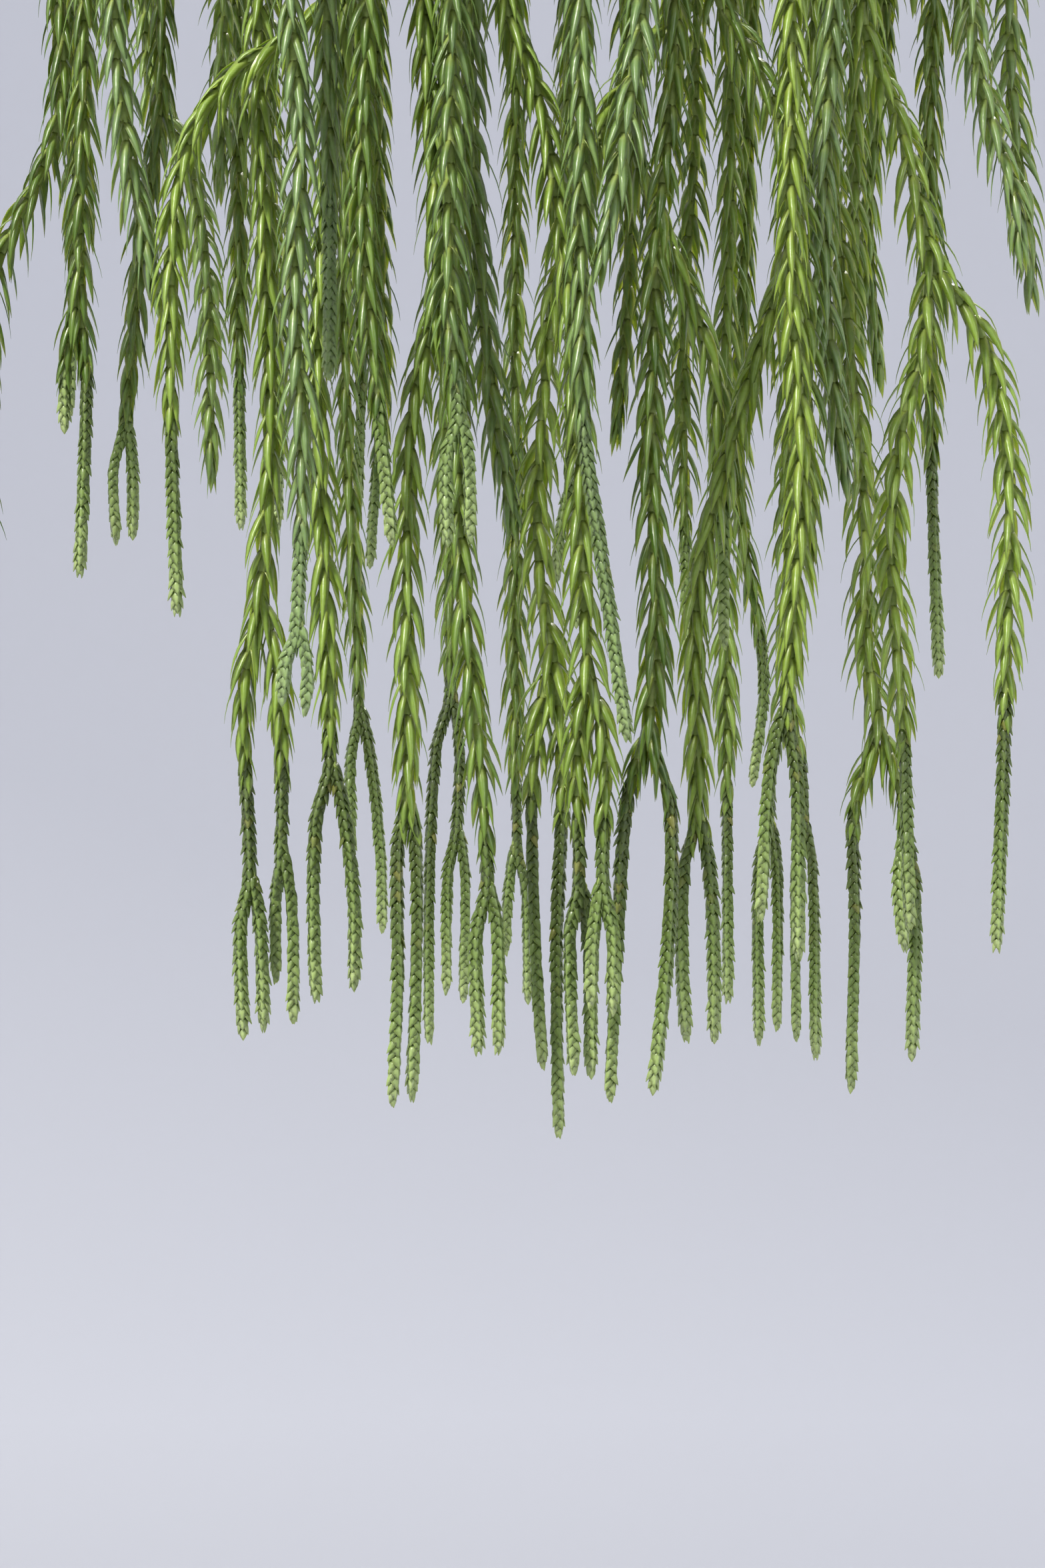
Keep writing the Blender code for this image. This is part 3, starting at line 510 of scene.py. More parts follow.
STEMS = [
    Stem(185, OUTER, run([(9, 0, 250), (7, 0, 222), (-6, 0, 192), (-11, 0, 150)],
                         run([(-14, 2, 135), (-15, 3, 74)]),
                         run([(-9, -3, 135), (-8, -3, 88)]), cone_top=120)),
    Stem(225, OUTER, run([(-5, 0, 245), (-3, 0, 215), (4, 0, 177)])),
    Stem(198, MIDDLE, run([(1, 0, 245), (0, 0, 184)],
                          run([(1.5, 0, 165), (0, 0, 121)]),
                          run([(-3, 0, 170), (-3.5, 0, 154)]), cone_top=166)),
    Stem(168, INNER, run([(6, 0, 250), (1, 0, 200), (-3, 0, 160)],
                         run([(-5.5, 0, 148), (-5, 0, 132)]),
                         run([(-1, 0, 148), (-1, 0, 133)]), cone_top=162)),
    Stem(247, INNER, run([(-1, 0, 256), (0, 0, 240)],
                         run([(-5, 0, 200), (-7, 0, 159), (-5.5, 0, 123), (-4.2, 0, 78)],
                             run([(-7, 0, 66), (-7.6, 0, 45), (-7, 0, 28)]),
                             run([(-1, 0, 66), (1, 0, 48), (1, 0, 31)]), cone_top=84),
                         run([(-12, 0, 233), (-24, 0, 225), (-33, 0, 212), (-37, 0, 197),
                              (-38, 0, 160), (-36.5, 0, 110)], cone_top=150))),
    Stem(247, OUTER, run([(-2.5, 0, 235), (-0.5, 0, 205), (-2, 0, 180), (-0.5, 0, 150),
                          (-1.5, 0, 106)],
                         run([(-3.6, 0, 99), (-4.5, 0, 91)]),
                         run([(0.6, 0, 98), (0.4, 0, 89)]), cone_top=126)),
    Stem(247, MIDDLE, run([(0, 0, 240), (0.5, 0, 200), (0.5, 0, 159)], cone_top=196)),
    Stem(235, INNER, run([(-2.6, 0, 240), (-2.6, 0, 215), (0, 0, 156), (-2.5, 0, 113)],
                         run([(-6, 0, 94), (-4.6, 0, 54)],
                             run([(-6.6, 0, 43), (-6, 0, 20)]),
                             run([(-2.4, 0, 43), (-1.6, 0, 22)])),
                         run([(1.8, 0, 94), (2.2, 0, 59)],
                             run([(0.8, 3, 49), (0.8, 3.4, 32)]),
                             run([(4.4, 0, 47), (4.8, 0, 23)])), cone_top=78)),
    Stem(133, MIDDLE, run([(0, 0, 245), (0, 0, 190), (0.5, 0, 139)], cone_top=176)),
    Stem(119, INNER, run([(0, 0, 220), (1, 0, 160), (4, 0, 93)],
                         run([(2, 0, 80), (2, 0, 54)]),
                         run([(7, 0, 80), (9.5, 0, 56), (10, 0, 37)]), cone_top=98)),
    Stem(257, MIDDLE, run([(3, 0, 238), (6, 0, 180), (0.5, 0, 150), (-0.5, 0, 110),
                           (-0.5, 0, 72)],
                          run([(-2.4, 0, 60), (-2.4, 0, 32), (-3.4, 0, 8)]),
                          run([(1.4, 0.5, 60), (1.4, 0.5, 32), (0.6, 0.5, 9)]), cone_top=66)),
    Stem(102, INNER, run([(0, 0, 220), (0, 0, 150), (1, 0, 98)],
                         run([(-2.6, 0, 82), (-4.4, 0, 45), (-4.4, 0, 8)]),
                         run([(3.4, 0, 82), (2.6, 0, 62)],
                             run([(0.4, 0, 50), (0, 0, 21)]),
                             run([(4.8, 0, 50), (4.4, 0, 19)])), cone_top=100)),
    Stem(264, OUTER, run([(-2, 0, 238), (-3, 0, 172), (-1, 0, 150)],
                         run([(-3.4, 0, 140), (-3.2, 0, 123)]),
                         run([(1, 0, 140), (1.4, 0, 124)]), cone_top=158)),
    Stem(263, INNER, run([(0.5, 0, 240), (0.5, 0, 205), (4, 0, 164), (9.6, 0, 128)])),
    Stem(263, MIDDLE, run([(-2, 0, 238), (-1, 0, 180), (0, 0, 120), (4, 0, 76), (5.4, 0, 53)],
                          run([(3.2, 0, 42), (3.6, 0, 18)]),
                          run([(7.6, 0, 42), (7.8, 0, 19)]), cone_top=62)),
    Stem(91, MIDDLE, run([(0, 0, 230), (0, 0, 140), (0.5, 0, 58)],
                         run([(2.8, 0, 45), (3.2, 0, 18)]),
                         run([(-1.8, 0, 46), (-2.6, 0, 30)]), cone_top=72)),
    Stem(292, INNER, run([(-2.5, 0, 240), (-14, 0, 222), (-26, -3, 188), (-30, -5, 164),
                          (-32, -5, 124), (-28.5, -5, 99)],
                         run([(-26.8, -3, 75), (-28, -3, 40), (-27.6, -3, 0)]),
                         run([(-33, -5, 75), (-32.6, -5, 42), (-31, -6.5, 15)]), cone_top=70)),
    Stem(268, MIDDLE, run([(0, 0, 238), (7, 0, 216), (12, 0, 186), (15, 0, 158), (16, 0, 118),
                           (17, 0, 97)],
                          run([(15, 2, 80), (15.4, 3, 53)],
                              run([(13.6, 3, 42), (14.4, 3, 14)]),
                              run([(17.6, 6, 40), (18, 6, 13)])),
                          run([(20.5, 0, 82), (20.4, 0, 53)],
                              run([(22.4, 0, 42), (22.4, 0, 27)]),
                              run([(18.4, 0, 42), (17.9, 0, 28)])), cone_top=66)),
    Stem(276, OUTER, run([(0, 0, 238), (0, 0, 170), (0.5, 0, 146), (3.7, 0, 123),
                          (9.4, 0, 83)], cone_top=148)),
    Stem(283, OUTER, run([(-1.3, 0, 240), (-4, -4, 215), (-10, -9, 180)])),
    Stem(286, MIDDLE, run([(3, 0, 232), (-1, 0, 184), (-2, 0, 140), (-1, 0, 102),
                           (-2.3, 0, 85)],
                          run([(1.8, 0, 69), (1.4, 0, 40), (-1.7, 0, 10)]),
                          run([(-7, 3, 70), (-8.7, 4, 48), (-10.6, 4, 8)]), cone_top=72)),
    Stem(311, INNER, run([(1.5, 0, 236), (2.5, -2, 215), (-8.5, -6, 174), (-18.7, -12, 141),
                          (-24.6, -14, 114), (-24.6, -14, 68)],
                         run([(-27.2, -14, 56), (-27.8, -14, 38), (-26.9, -14, 20)]),
                         run([(-22, -14, 56), (-21, -14, 38), (-20.9, -14, 20)]),
                         cone_top=64)),
    Stem(56, INNER, run([(0, 0, 230), (-2, 0, 150), (-1, 0, 90), (-0.6, 0, 19)], cone_top=72)),
    Stem(299, OUTER, run([(0, 0, 238), (0, 0, 176), (2, 0, 140), (-0.8, 0, 90)],
                         run([(1, 0, 74), (1.4, 0, 38)]),
                         run([(-4.6, 0, 76), (-6.6, 0, 46)]), cone_top=90)),
    Stem(50, MIDDLE, run([(0, 0, 230), (0, 0, 150), (-1, 0, 97)],
                         run([(-4.6, 0, 80), (-5.2, 0, 64)],
                             run([(-7.6, 0, 52), (-7.6, 0, 9)]),
                             run([(-3, 0, 52), (-3, 0, 12)])),
                         run([(3, 0, 80), (3.8, 0, 64)],
                             run([(1.8, 0, 52), (1.9, 0, 10)]),
                             run([(6, 0, 52), (6.8, 0, 5)])), cone_top=82)),
    Stem(309, MIDDLE, run([(0, 0, 235), (-2, 0, 197), (-0.3, 0, 164), (2.8, 0, 138)])),
    Stem(59, OUTER, run([(-2, 0, 225), (-4, 0, 150), (2.5, 0, 102), (-0.3, 0, 74)],
                        cone_top=112)),
    Stem(318, INNER, run([(-4, 6, 238), (0, 8, 190), (5, 8, 140), (6, 8, 102), (8.5, 8, 86)],
                         run([(3.4, 8, 70), (3.2, 8, 42), (2.4, 8, 7)]),
                         run([(13.2, 8, 72), (14, 8, 64)],
                             run([(12.6, 5, 52), (13.8, 4, 38)]),
                             run([(16.6, 10, 50), (16, 10, 14)])), cone_top=68)),
    Stem(315, MIDDLE, run([(-1, 0, 240), (7.5, 2, 215), (15, 4, 186)],
                          run([(26, 8, 170), (31.5, 10, 142), (31, 10, 98), (29, 10, 38)],
                              cone_top=92),
                          run([(12, 1, 168), (7.5, 0, 150), (5, 0, 123), (7.5, 0, 90),
                               (9, -2, 43)], cone_top=84))),
    Stem(14, MIDDLE, run([(-4, 0, 238), (-4, 0, 160), (-2, 0, 100)], cone_top=152)),
    Stem(329, OUTER, run([(-1, 0, 240), (3, 0, 219), (8, 0, 203), (9.5, 0, 190)])),
    Stem(352, OUTER, run([(-4, -8, 240), (-1, -8, 208), (1, -8, 184)])),
    Stem(151, MIDDLE, run([(0, 0, 248), (10, 0, 225), (14, 3, 198), (15, 3, 152)])),
    Stem(124, OUTER, run([(0, 0, 245), (2, 0, 180), (2, 0, 140)], cone_top=164)),
    Stem(254, OUTER, run([(0, 0, 238), (-1, 0, 190), (2, 0, 155), (5, 0, 124)], cone_top=152)),
    Stem(30, INNER, run([(0, 0, 240), (0, 0, 200), (-2, 0, 164)])),
    Stem(76, MIDDLE, run([(2, 0, 240), (2, 0, 200), (-1, 0, 166)])),
    Stem(109, OUTER, run([(0, 0, 230), (1, 0, 180), (-2, 0, 131)], cone_top=158)),
    Stem(297, MIDDLE, run([(-7, 0, 242), (1, 0, 226), (9, 2, 205), (12, 3, 170), (13, 4, 122)])),
    Stem(142, INNER, run([(0, 0, 255), (-1, 1, 224)])),
    Stem(65, MIDDLE, run([(0, 0, 240), (-3, 0, 190), (-2, 0, 106)], cone_top=140)),
    Stem(84, OUTER, run([(0, 0, 240), (2, 0, 190), (0, 0, 150)],
                        run([(2.4, 0, 136), (2, 0, 116)]),
                        run([(-2.4, 0, 138), (-3, 0, 128)]), cone_top=160)),
    Stem(115, MIDDLE, run([(1, 0, 235), (3, 0, 190), (2, 0, 143)], cone_top=178)),
    Stem(40, OUTER, run([(0, 0, 240), (-2, 0, 210), (1, 0, 178)])),
    Stem(180, MIDDLE, run([(0, 0, 240), (1, 0, 205), (-1, 0, 160)], cone_top=192)),
    Stem(282, INNER, run([(4, 9, 244), (5, 13, 208), (14, 15, 184), (22, 18, 160),
                          (24, 20, 104)], cone_top=132)),
    Stem(343, INNER, run([(0, 0, 300), (-1, 2, 256)])),
    Stem(358, MIDDLE, run([(-1, 2, 300), (-2, 6, 250)])),
    Stem(18, OUTER, run([(0, 0, 300), (-5, -3, 252)])),
    Stem(32, MIDDLE, run([(0, -1, 300), (1, -3, 249)])),
    Stem(190, INNER, run([(0, 1, 300), (2, 0, 254)])),
    Stem(206, OUTER, run([(0, 0, 300), (6, 2, 256)])),
    Stem(165, MIDDLE, run([(0, 0, 300), (3, -2, 252)])),
]


def smooth(points, parameters):
    """A cubic curve through the points, its slopes taken over each point's two neighbours;
    a parameter of 2.5 is halfway between the third point and the fourth."""
    points = np.asarray(points, dtype=float)
    lengths = np.linalg.norm(np.diff(points, axis=0), axis=1)
    knots = np.concatenate([[0.0], np.cumsum(lengths)])
    slopes = np.empty_like(points)
    slopes[1:-1] = (points[2:] - points[:-2]) / (knots[2:] - knots[:-2])[:, None]
    slopes[0] = (points[1] - points[0]) / lengths[0]
    slopes[-1] = (points[-1] - points[-2]) / lengths[-1]
    first = np.minimum(parameters.astype(int), len(points) - 2)
    t = (parameters - first)[:, None]
    span = lengths[first][:, None]
    return ((2 * t**3 - 3 * t**2 + 1) * points[first] + (t**3 - 2 * t**2 + t) * span * slopes[first]
            + (3 * t**2 - 2 * t**3) * points[first + 1] + (t**3 - t**2) * span * slopes[first + 1])


def tuft_azimuths():
    """The azimuth that each stem rises at: part of the way from its own towards an even
    spacing within its row."""
    rises = [0.0] * len(STEMS)
    for row in (INNER, MIDDLE, OUTER):
        members = sorted((i for i, stem in enumerate(STEMS) if stem.row == row),
                         key=lambda i: STEMS[i].azimuth)
        step = 360.0 / len(members)
        phase = sum(STEMS[i].azimuth - step * k for k, i in enumerate(members)) / len(members)
        for k, i in enumerate(members):
            rises[i] = STEMS[i].azimuth + TUFT_SPREAD * (phase + step * k - STEMS[i].azimuth)
    return rises


def arch_points(stem, rise):
    """Up out of the mix, over the rim and down to the hanging line: a cubic curve in radius
    and height, whose azimuth turns evenly with the radius."""
    tuft = TUFT_RADIUS[stem.row]
    line = RIM_RADIUS + STANDOFF[stem.row]
    end = RIM_Z - ARCH_END_DROP
    crest = (8 * (RIM_Z + ARCH_RISE[stem.row]) - MIX_Z - end) / 6
    t = np.linspace(0.0, 1.0, ARCH_STEPS)
    weights = np.stack([(1 - t)**3, 3 * (1 - t)**2 * t, 3 * (1 - t) * t**2, t**3])
    radius = weights.T @ np.array([tuft, tuft + 0.004, line, line])
    height = weights.T @ np.array([MIX_Z, crest, crest, end])
    share = (radius - tuft) / (line - tuft)
    azimuth = np.radians(rise + (stem.azimuth - rise) * share)
    return list(np.stack([radius * np.cos(azimuth), radius * np.sin(azimuth), height], axis=1))


def hanging(stem, spot):
    """A point of the table as a place: off the stem's hanging line, over the lowest tip."""
    line = RIM_RADIUS + STANDOFF[stem.row]
    azimuth = math.radians(stem.azimuth)
    return np.array([line * math.cos(azimuth) + spot[0] * MM,
                     line * math.sin(azimuth) + spot[1] * MM, RIM_Z - LONGEST_DROP + spot[2] * MM])


def branches(stem, part, before, cone_top, first=True):
    """Every unbroken route of a stem from its start to a tip: a fork's first branch goes on
    from the route above it, and its second starts a little way back up inside that route."""
    if part.cone_top is not None:
        cone_top = part.cone_top
    route = before + [hanging(stem, spot) for spot in part.points]
    if not part.forks:
        return [Branch(route, cone_top, first)]
    found = branches(stem, part.forks[0], route, cone_top, first)
    start = route[-1] + unit(route[-2] - route[-1]) * FORK_OVERLAP
    for fork in part.forks[1:]:
        found += branches(stem, fork, [start], cone_top, False)
    return found


class Path:
    """One branch's centre line, finely sampled: places, headings and two square side axes, all
    read by the distance from its start."""

    def __init__(self, branch, aside):
        count = 60 * len(branch.route)
        fine = smooth(branch.route, np.linspace(0, len(branch.route) - 1, count))
        steps = np.linalg.norm(np.diff(fine, axis=0), axis=1)
        self.travelled = np.concatenate([[0.0], np.cumsum(steps)])
        self.length = self.travelled[-1]
        self.places = fine
        self.heading = unit(np.gradient(fine, self.travelled, axis=0))
        self.aside = aside
        self.first = branch.first
        if branch.cone_top is None:
            self.cone_start = None
        else:
            below = fine[:, 2] < RIM_Z - LONGEST_DROP + branch.cone_top * MM
            self.cone_start = self.travelled[np.argmax(below)]

    def at(self, distance):
        """Place, heading and the two side axes at each distance."""
        place, ahead = (np.stack([np.interp(distance, self.travelled, values[:, k])
                                  for k in range(3)], axis=-1)
                        for values in (self.places, self.heading))
        ahead = unit(ahead)
        side = unit(self.aside - ahead * (ahead @ self.aside)[..., None])
        return place, ahead, side, np.cross(ahead, side)

    def cone_share(self, distance, over):
        """0 on the leafy length, 1 in the cone, rising over the given length before it."""
        if self.cone_start is None:
            return np.zeros_like(distance)
        return np.clip((distance - self.cone_start + over) / over, 0.0, 1.0)


def core_radius(path, distance):
    """A core's flare dies away from its foot, it is slimmer in the cone, and at the tip its
    radius goes with the square root of what is left."""
    left = path.length - distance
    flare = CORE_FLARE * np.exp(-distance / CORE_FLARE_REACH) if path.first else 0.0
    radius = CORE_RADIUS + flare - CONE_CORE_LOSS * path.cone_share(distance, 0.02)
    return radius * np.sqrt(np.clip(left / ROUND_END, 0.02, 1.0))


def core_grid(path):
    """A core as a grid of six corners a row, with low ridges that wind slowly down it."""
    rows = max(6, int(path.length / CORE_ROW))
    distance = np.linspace(0.0, path.length, rows)
    place, ahead, side, other = path.at(distance)
    angle = np.linspace(0, 2 * np.pi, 6, endpoint=False)[None] + distance[:, None] * 60.0
    ridge = 1.0 + RIDGE_HEIGHT * np.cos(RIDGES * angle - distance[:, None] * 300.0)
    radius = (core_radius(path, distance)[:, None] * ridge)[..., None]
    return (place[:, None] + radius * (np.cos(angle)[..., None] * side[:, None]
                                       + np.sin(angle)[..., None] * other[:, None]))


def core_finish():
    """Living stem: yellow-green and waxy with paler streaks, browner near the mix."""
    finish = new_finish("stem_core", Roughness=0.45, IOR=1.42)
    streaks = noise(finish, 700.0, 3.0)
    base = ramp(finish, streaks, [(0.3, (0.22, 0.31, 0.060)), (0.6, (0.34, 0.43, 0.120)),
                                  (0.8, (0.44, 0.50, 0.180))])
    place = node(finish, "ShaderNodeSeparateXYZ",
                 Vector=node(finish, "ShaderNodeTexCoord").outputs["Object"]).outputs
    out = maths(finish, "SQRT", maths(finish, "ADD", maths(finish, "MULTIPLY", place[0], place[0]),
                                      maths(finish, "MULTIPLY", place[1], place[1])))
    foot = maths(finish, "MULTIPLY", spread(finish, place[2], MIX_Z + 0.03, MIX_Z + 0.004),
                 spread(finish, out, BASE_RADIUS + 0.008, BASE_RADIUS))
    colour(finish, mixed(finish, foot, base, (0.16, 0.13, 0.045, 1)))
    bump(finish, streaks, 0.0001, 0.6)
    return finish


def joined(name, parts, finish):
    """Bodies of unlike length as one mesh object."""
    made = [grid_piece(f"{name}_{k}", part, finish) for k, part in enumerate(parts)]
    body = made[0]
    body.name = name
    body.data.name = name
    if len(made) > 1:
        with bpy.context.temp_override(active_object=body, object=body, selected_objects=made,
                                       selected_editable_objects=made):
            bpy.ops.object.join()
    return body


core_green = core_finish()
paths = []
for number, (stem, rise) in enumerate(zip(STEMS, tuft_azimuths()), start=1):
    azimuth = math.radians(stem.azimuth)
    aside = np.array([-math.sin(azimuth), math.cos(azimuth), 0.0])
    routes = branches(stem, stem.run, arch_points(stem, rise), None)
    found = [Path(branch, aside) for branch in routes]
    paths.append(found)
    core = joined(f"stem_{number:02d}_core", [core_grid(path) for path in found], core_green)
    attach(core, "root")
    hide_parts(f"stem_{number:02d}")


# ---- The leaves and cones ------------------------------------------------------------------
# Narrow, keeled, waxy leaves in alternating fours all down each stem, which shorten quickly
# where a cone starts.  A cone is pairs of short broad scales, laid over each other like a braid.

WHORL_PITCH = 0.0043
WHORL_LEAVES = 4
LEAF_LENGTH = 0.0124
LEAF_HALF_WIDTH = 0.00112
SCALE_PITCH = 0.00108
SCALE_LENGTH = 0.0032
SCALE_HALF_WIDTH = 0.00122
GLAUCOUS = {2: 0.9, 6: 0.9, 7: 0.7, 13: 0.3, 14: 0.75, 19: 0.6, 20: 0.8, 26: 0.9, 31: 0.9,
            32: 0.8, 33: 0.4, 40: 0.5, 44: 0.3}
YELLOWER = {5: 0.5, 8: 0.4, 11: 0.3, 17: 0.6, 18: 0.4, 22: 0.5, 24: 0.9, 28: 0.3, 29: 0.4}
LEAF_ANGLE = np.radians(36)
LEAF_FOLD = 0.14
LEAF_KEEL = 0.00020
LEAF_DROOP = 0.65
CONE_APPROACH = 0.026
SCALE_ANGLE = np.radians(21)
SCALE_END_ANGLE = np.radians(9)
SCALE_FOLD = 0.55
SCALE_KEEL = 0.00050
SCALE_SEAT = 0.00080
CLOSING_LENGTH = 0.0042
LEAF_ROWS = np.array([0.0, 0.08, 0.24, 0.44, 0.64, 0.83, 1.0])
LEAF_WIDTHS = np.array([0.66, 0.90, 1.0, 0.92, 0.68, 0.34, 0.02])
SCALE_ROWS = np.array([0.0, 0.25, 0.5, 0.76, 1.0])
SCALE_WIDTHS = np.array([0.8, 1.0, 0.88, 0.50, 0.04])


def blades(base, heading, across, length, half_width, rows, widths, fold, keel, twist):
    """Blades as grids of four corners a row: left edge, keel, right edge, groove.

    A blade's middle line starts at its base and follows its headings, one for each row.  Its
    width lies across them, its edges sit below the keel by fold half-widths, and twist turns
    it on itself towards the tip."""
    step = (np.diff(rows)[None, :] * length[:, None])[..., None]
    travel = np.cumsum((heading[:, 1:] + heading[:, :-1]) / 2 * step, axis=1)
    line = base[:, None] + np.concatenate([np.zeros((len(base), 1, 3)), travel], axis=1)
    level = unit(across[:, None] - heading * (across[:, None] * heading).sum(-1, keepdims=True))
    normal = np.cross(level, heading)
    turn = (twist[:, None] * rows[None, :])[..., None]
    wide = np.cos(turn) * level + np.sin(turn) * normal
    high = np.cos(turn) * normal - np.sin(turn) * level
    width = (half_width[:, None] * widths[None, :])[..., None]
    thick = keel * (0.25 + 0.75 * widths)[None, :, None]
    left = line - wide * width - high * width * fold
    right = line + wide * width - high * width * fold
    return np.stack([left, line + high * thick * 0.55, right,
                     line - high * (width * fold * 0.35 + thick * 0.35)], axis=2)


def leaf_rows(path, draw):
    """Where the long leaves of one branch sit: distance, angle round the stem."""
    stop = path.length - 0.0015 if path.cone_start is None else path.cone_start + 0.002
    start = 0.004 if path.first else FORK_OVERLAP + 0.002
    whorls = np.arange(start, stop, WHORL_PITCH)
    number = np.arange(len(whorls))
    each = np.arange(WHORL_LEAVES)
    angle = (each[None] * 2 * np.pi / WHORL_LEAVES + (number % 2)[:, None] * np.pi / WHORL_LEAVES
             + number[:, None] * 0.09 + draw.normal(0, 0.10, (len(whorls), WHORL_LEAVES)))
    distance = whorls[:, None] + draw.normal(0, 0.0005, angle.shape)
    keep = (distance > 0.001) & (distance < stop)
    return distance[keep], angle[keep]


def long_leaves(path, draw, openness, shade):
    """The long leaves of one branch as grids, with what their finish reads: distance to the
    tip, 0 for a leaf rather than a scale, and a share from dark to pale, half the stem's own.

    A leaf leaves its stem at an angle and bends over towards straight down, or on a rising
    stem towards the way that the stem goes."""
    distance, angle = leaf_rows(path, draw)
    count = len(distance)
    place, ahead, side, other = path.at(distance)
    out = np.cos(angle)[:, None] * side + np.sin(angle)[:, None] * other
    near_cone = path.cone_share(distance, CONE_APPROACH)
    left = path.length - distance
    bud = np.clip(1 - left / CONE_APPROACH, 0, 1) * (path.cone_start is None)
    young = np.clip((distance - 0.012) / 0.05, 0, 1) if path.first else np.ones(count)
    size = (0.72 + 0.28 * young) * (1 - 0.55 * near_cone**1.4) * (1 - 0.30 * bud)
    length = LEAF_LENGTH * size * draw.normal(1.0, 0.07, count)
    width = LEAF_HALF_WIDTH * (1 - 0.1 * near_cone) * draw.normal(1.0, 0.06, count)
    first = (LEAF_ANGLE * openness * (1 - 0.45 * near_cone) * (1 - 0.75 * bud)
             + draw.normal(0, 0.06, count))[:, None]
    droop = np.clip(LEAF_DROOP * (1 - ahead[:, 2:]), 0.0, 0.8) * (1 - bud[:, None])
    last = unit((1 - droop) * ahead - droop * np.array([0.0, 0.0, 1.0])
                + out * (draw.normal(0.05, 0.07, count) * (1 - bud))[:, None]
                + np.cross(ahead, out) * draw.normal(0, 0.09, count)[:, None])
    start = np.cos(first) * ahead + np.sin(first) * out
    bent = (0.96 * LEAF_ROWS**0.8)[None, :, None]
    heading = unit(start[:, None] * (1 - bent) + last[:, None] * bent)
    base = place + out * (core_radius(path, distance) * 0.7)[:, None]
    shapes = blades(base, heading, np.cross(ahead, out), length, width, LEAF_ROWS, LEAF_WIDTHS,
                    LEAF_FOLD, LEAF_KEEL, draw.normal(0, 0.20, count))
    return shapes, left, np.zeros(count), 0.5 * shade + 0.5 * draw.uniform(0, 1, count)


def cone_scales(path, draw):
    """The scales of one branch's cone: crossed pairs, each a quarter turn on from the last, that
    close in over its blunt tip."""
    start = max(path.cone_start - 0.002, 0.0 if path.first else FORK_OVERLAP)
    pairs = np.arange(start, path.length - 0.0006, SCALE_PITCH)
    number = np.arange(len(pairs))
    drift = draw.uniform(0, np.pi) + draw.uniform(-0.02, 0.02) * number
    angle = (np.array([0.0, np.pi])[None] + (number % 2)[:, None] * np.pi / 2 + drift[:, None]
             + draw.normal(0, 0.06, (len(pairs), 2))).reshape(-1)
    distance = (pairs[:, None] + draw.normal(0, 0.00012, (len(pairs), 2))).reshape(-1)
    distance = np.clip(distance, 0.0, path.length)
    count = len(distance)
    place, ahead, side, other = path.at(distance)
    out = np.cos(angle)[:, None] * side + np.sin(angle)[:, None] * other
    left = path.length - distance
    closing = np.clip(1 - left / CLOSING_LENGTH, 0, 1)
    swell = 1.0 - 0.10 * np.clip((left - 0.02) / 0.04, 0, 1)
    length = SCALE_LENGTH * (1 - 0.3 * closing) * draw.normal(1.0, 0.06, count)
    width = SCALE_HALF_WIDTH * swell * (1 - 0.3 * closing)
    first = SCALE_ANGLE * (1 - 0.5 * closing) + draw.normal(0, 0.05, count)
    last = SCALE_END_ANGLE - np.radians(32) * closing + draw.normal(0, 0.09, count)
    lean = (first[:, None] + (last - first)[:, None] * SCALE_ROWS[None, :]**0.7)[..., None]
    heading = np.cos(lean) * ahead[:, None] + np.sin(lean) * out[:, None]
    base = place + out * (SCALE_SEAT * (1 - 0.55 * closing))[:, None]
    shapes = blades(base, heading, np.cross(ahead, out), length, width, SCALE_ROWS, SCALE_WIDTHS,
                    SCALE_FOLD, SCALE_KEEL, draw.normal(0, 0.10, count))
    return shapes, left, np.ones(count), draw.uniform(0, 1, count)


def own_map(mesh, count, rows, corners):
    """A map with a square cell for each blade: its corners go across the cell and its rows up
    it, so that no two blades share a spot."""
    faces_each = (rows - 1) * corners
    cells = int(math.ceil(math.sqrt(count)))
    row = np.arange(rows - 1)[:, None]
    corner = np.arange(corners)[None]
    u = np.stack([corner, corner + 1, corner + 1, corner], axis=-1) + 0 * row[..., None]
    v = np.stack([row, row, row + 1, row + 1], axis=-1) + 0 * corner[..., None]
    local = np.stack([u / corners, v / (rows - 1)], axis=-1).reshape(faces_each, 4, 2)
    ends = np.array([[[0.1, 0.0], [0.4, 0.0], [0.4, 0.02], [0.1, 0.02]],
                     [[0.1, 0.98], [0.4, 0.98], [0.4, 1.0], [0.1, 1.0]]])
    local = np.concatenate([local, ends]).reshape(-1, 2) * 0.92 + 0.04
    number = np.arange(count)
    cell = np.stack([number % cells, number // cells], axis=-1)[:, None]
    made = mesh.uv_layers.new(name="OFBake")
    made.data.foreach_set("uv", ((local[None] + cell) / cells).reshape(-1))


def stored(finish, layer):
    """The three values that a piece stores at its corners under one name."""
    source = node(finish, "ShaderNodeAttribute", {"attribute_name": layer}).outputs["Vector"]
    return node(finish, "ShaderNodeSeparateXYZ", Vector=source).outputs


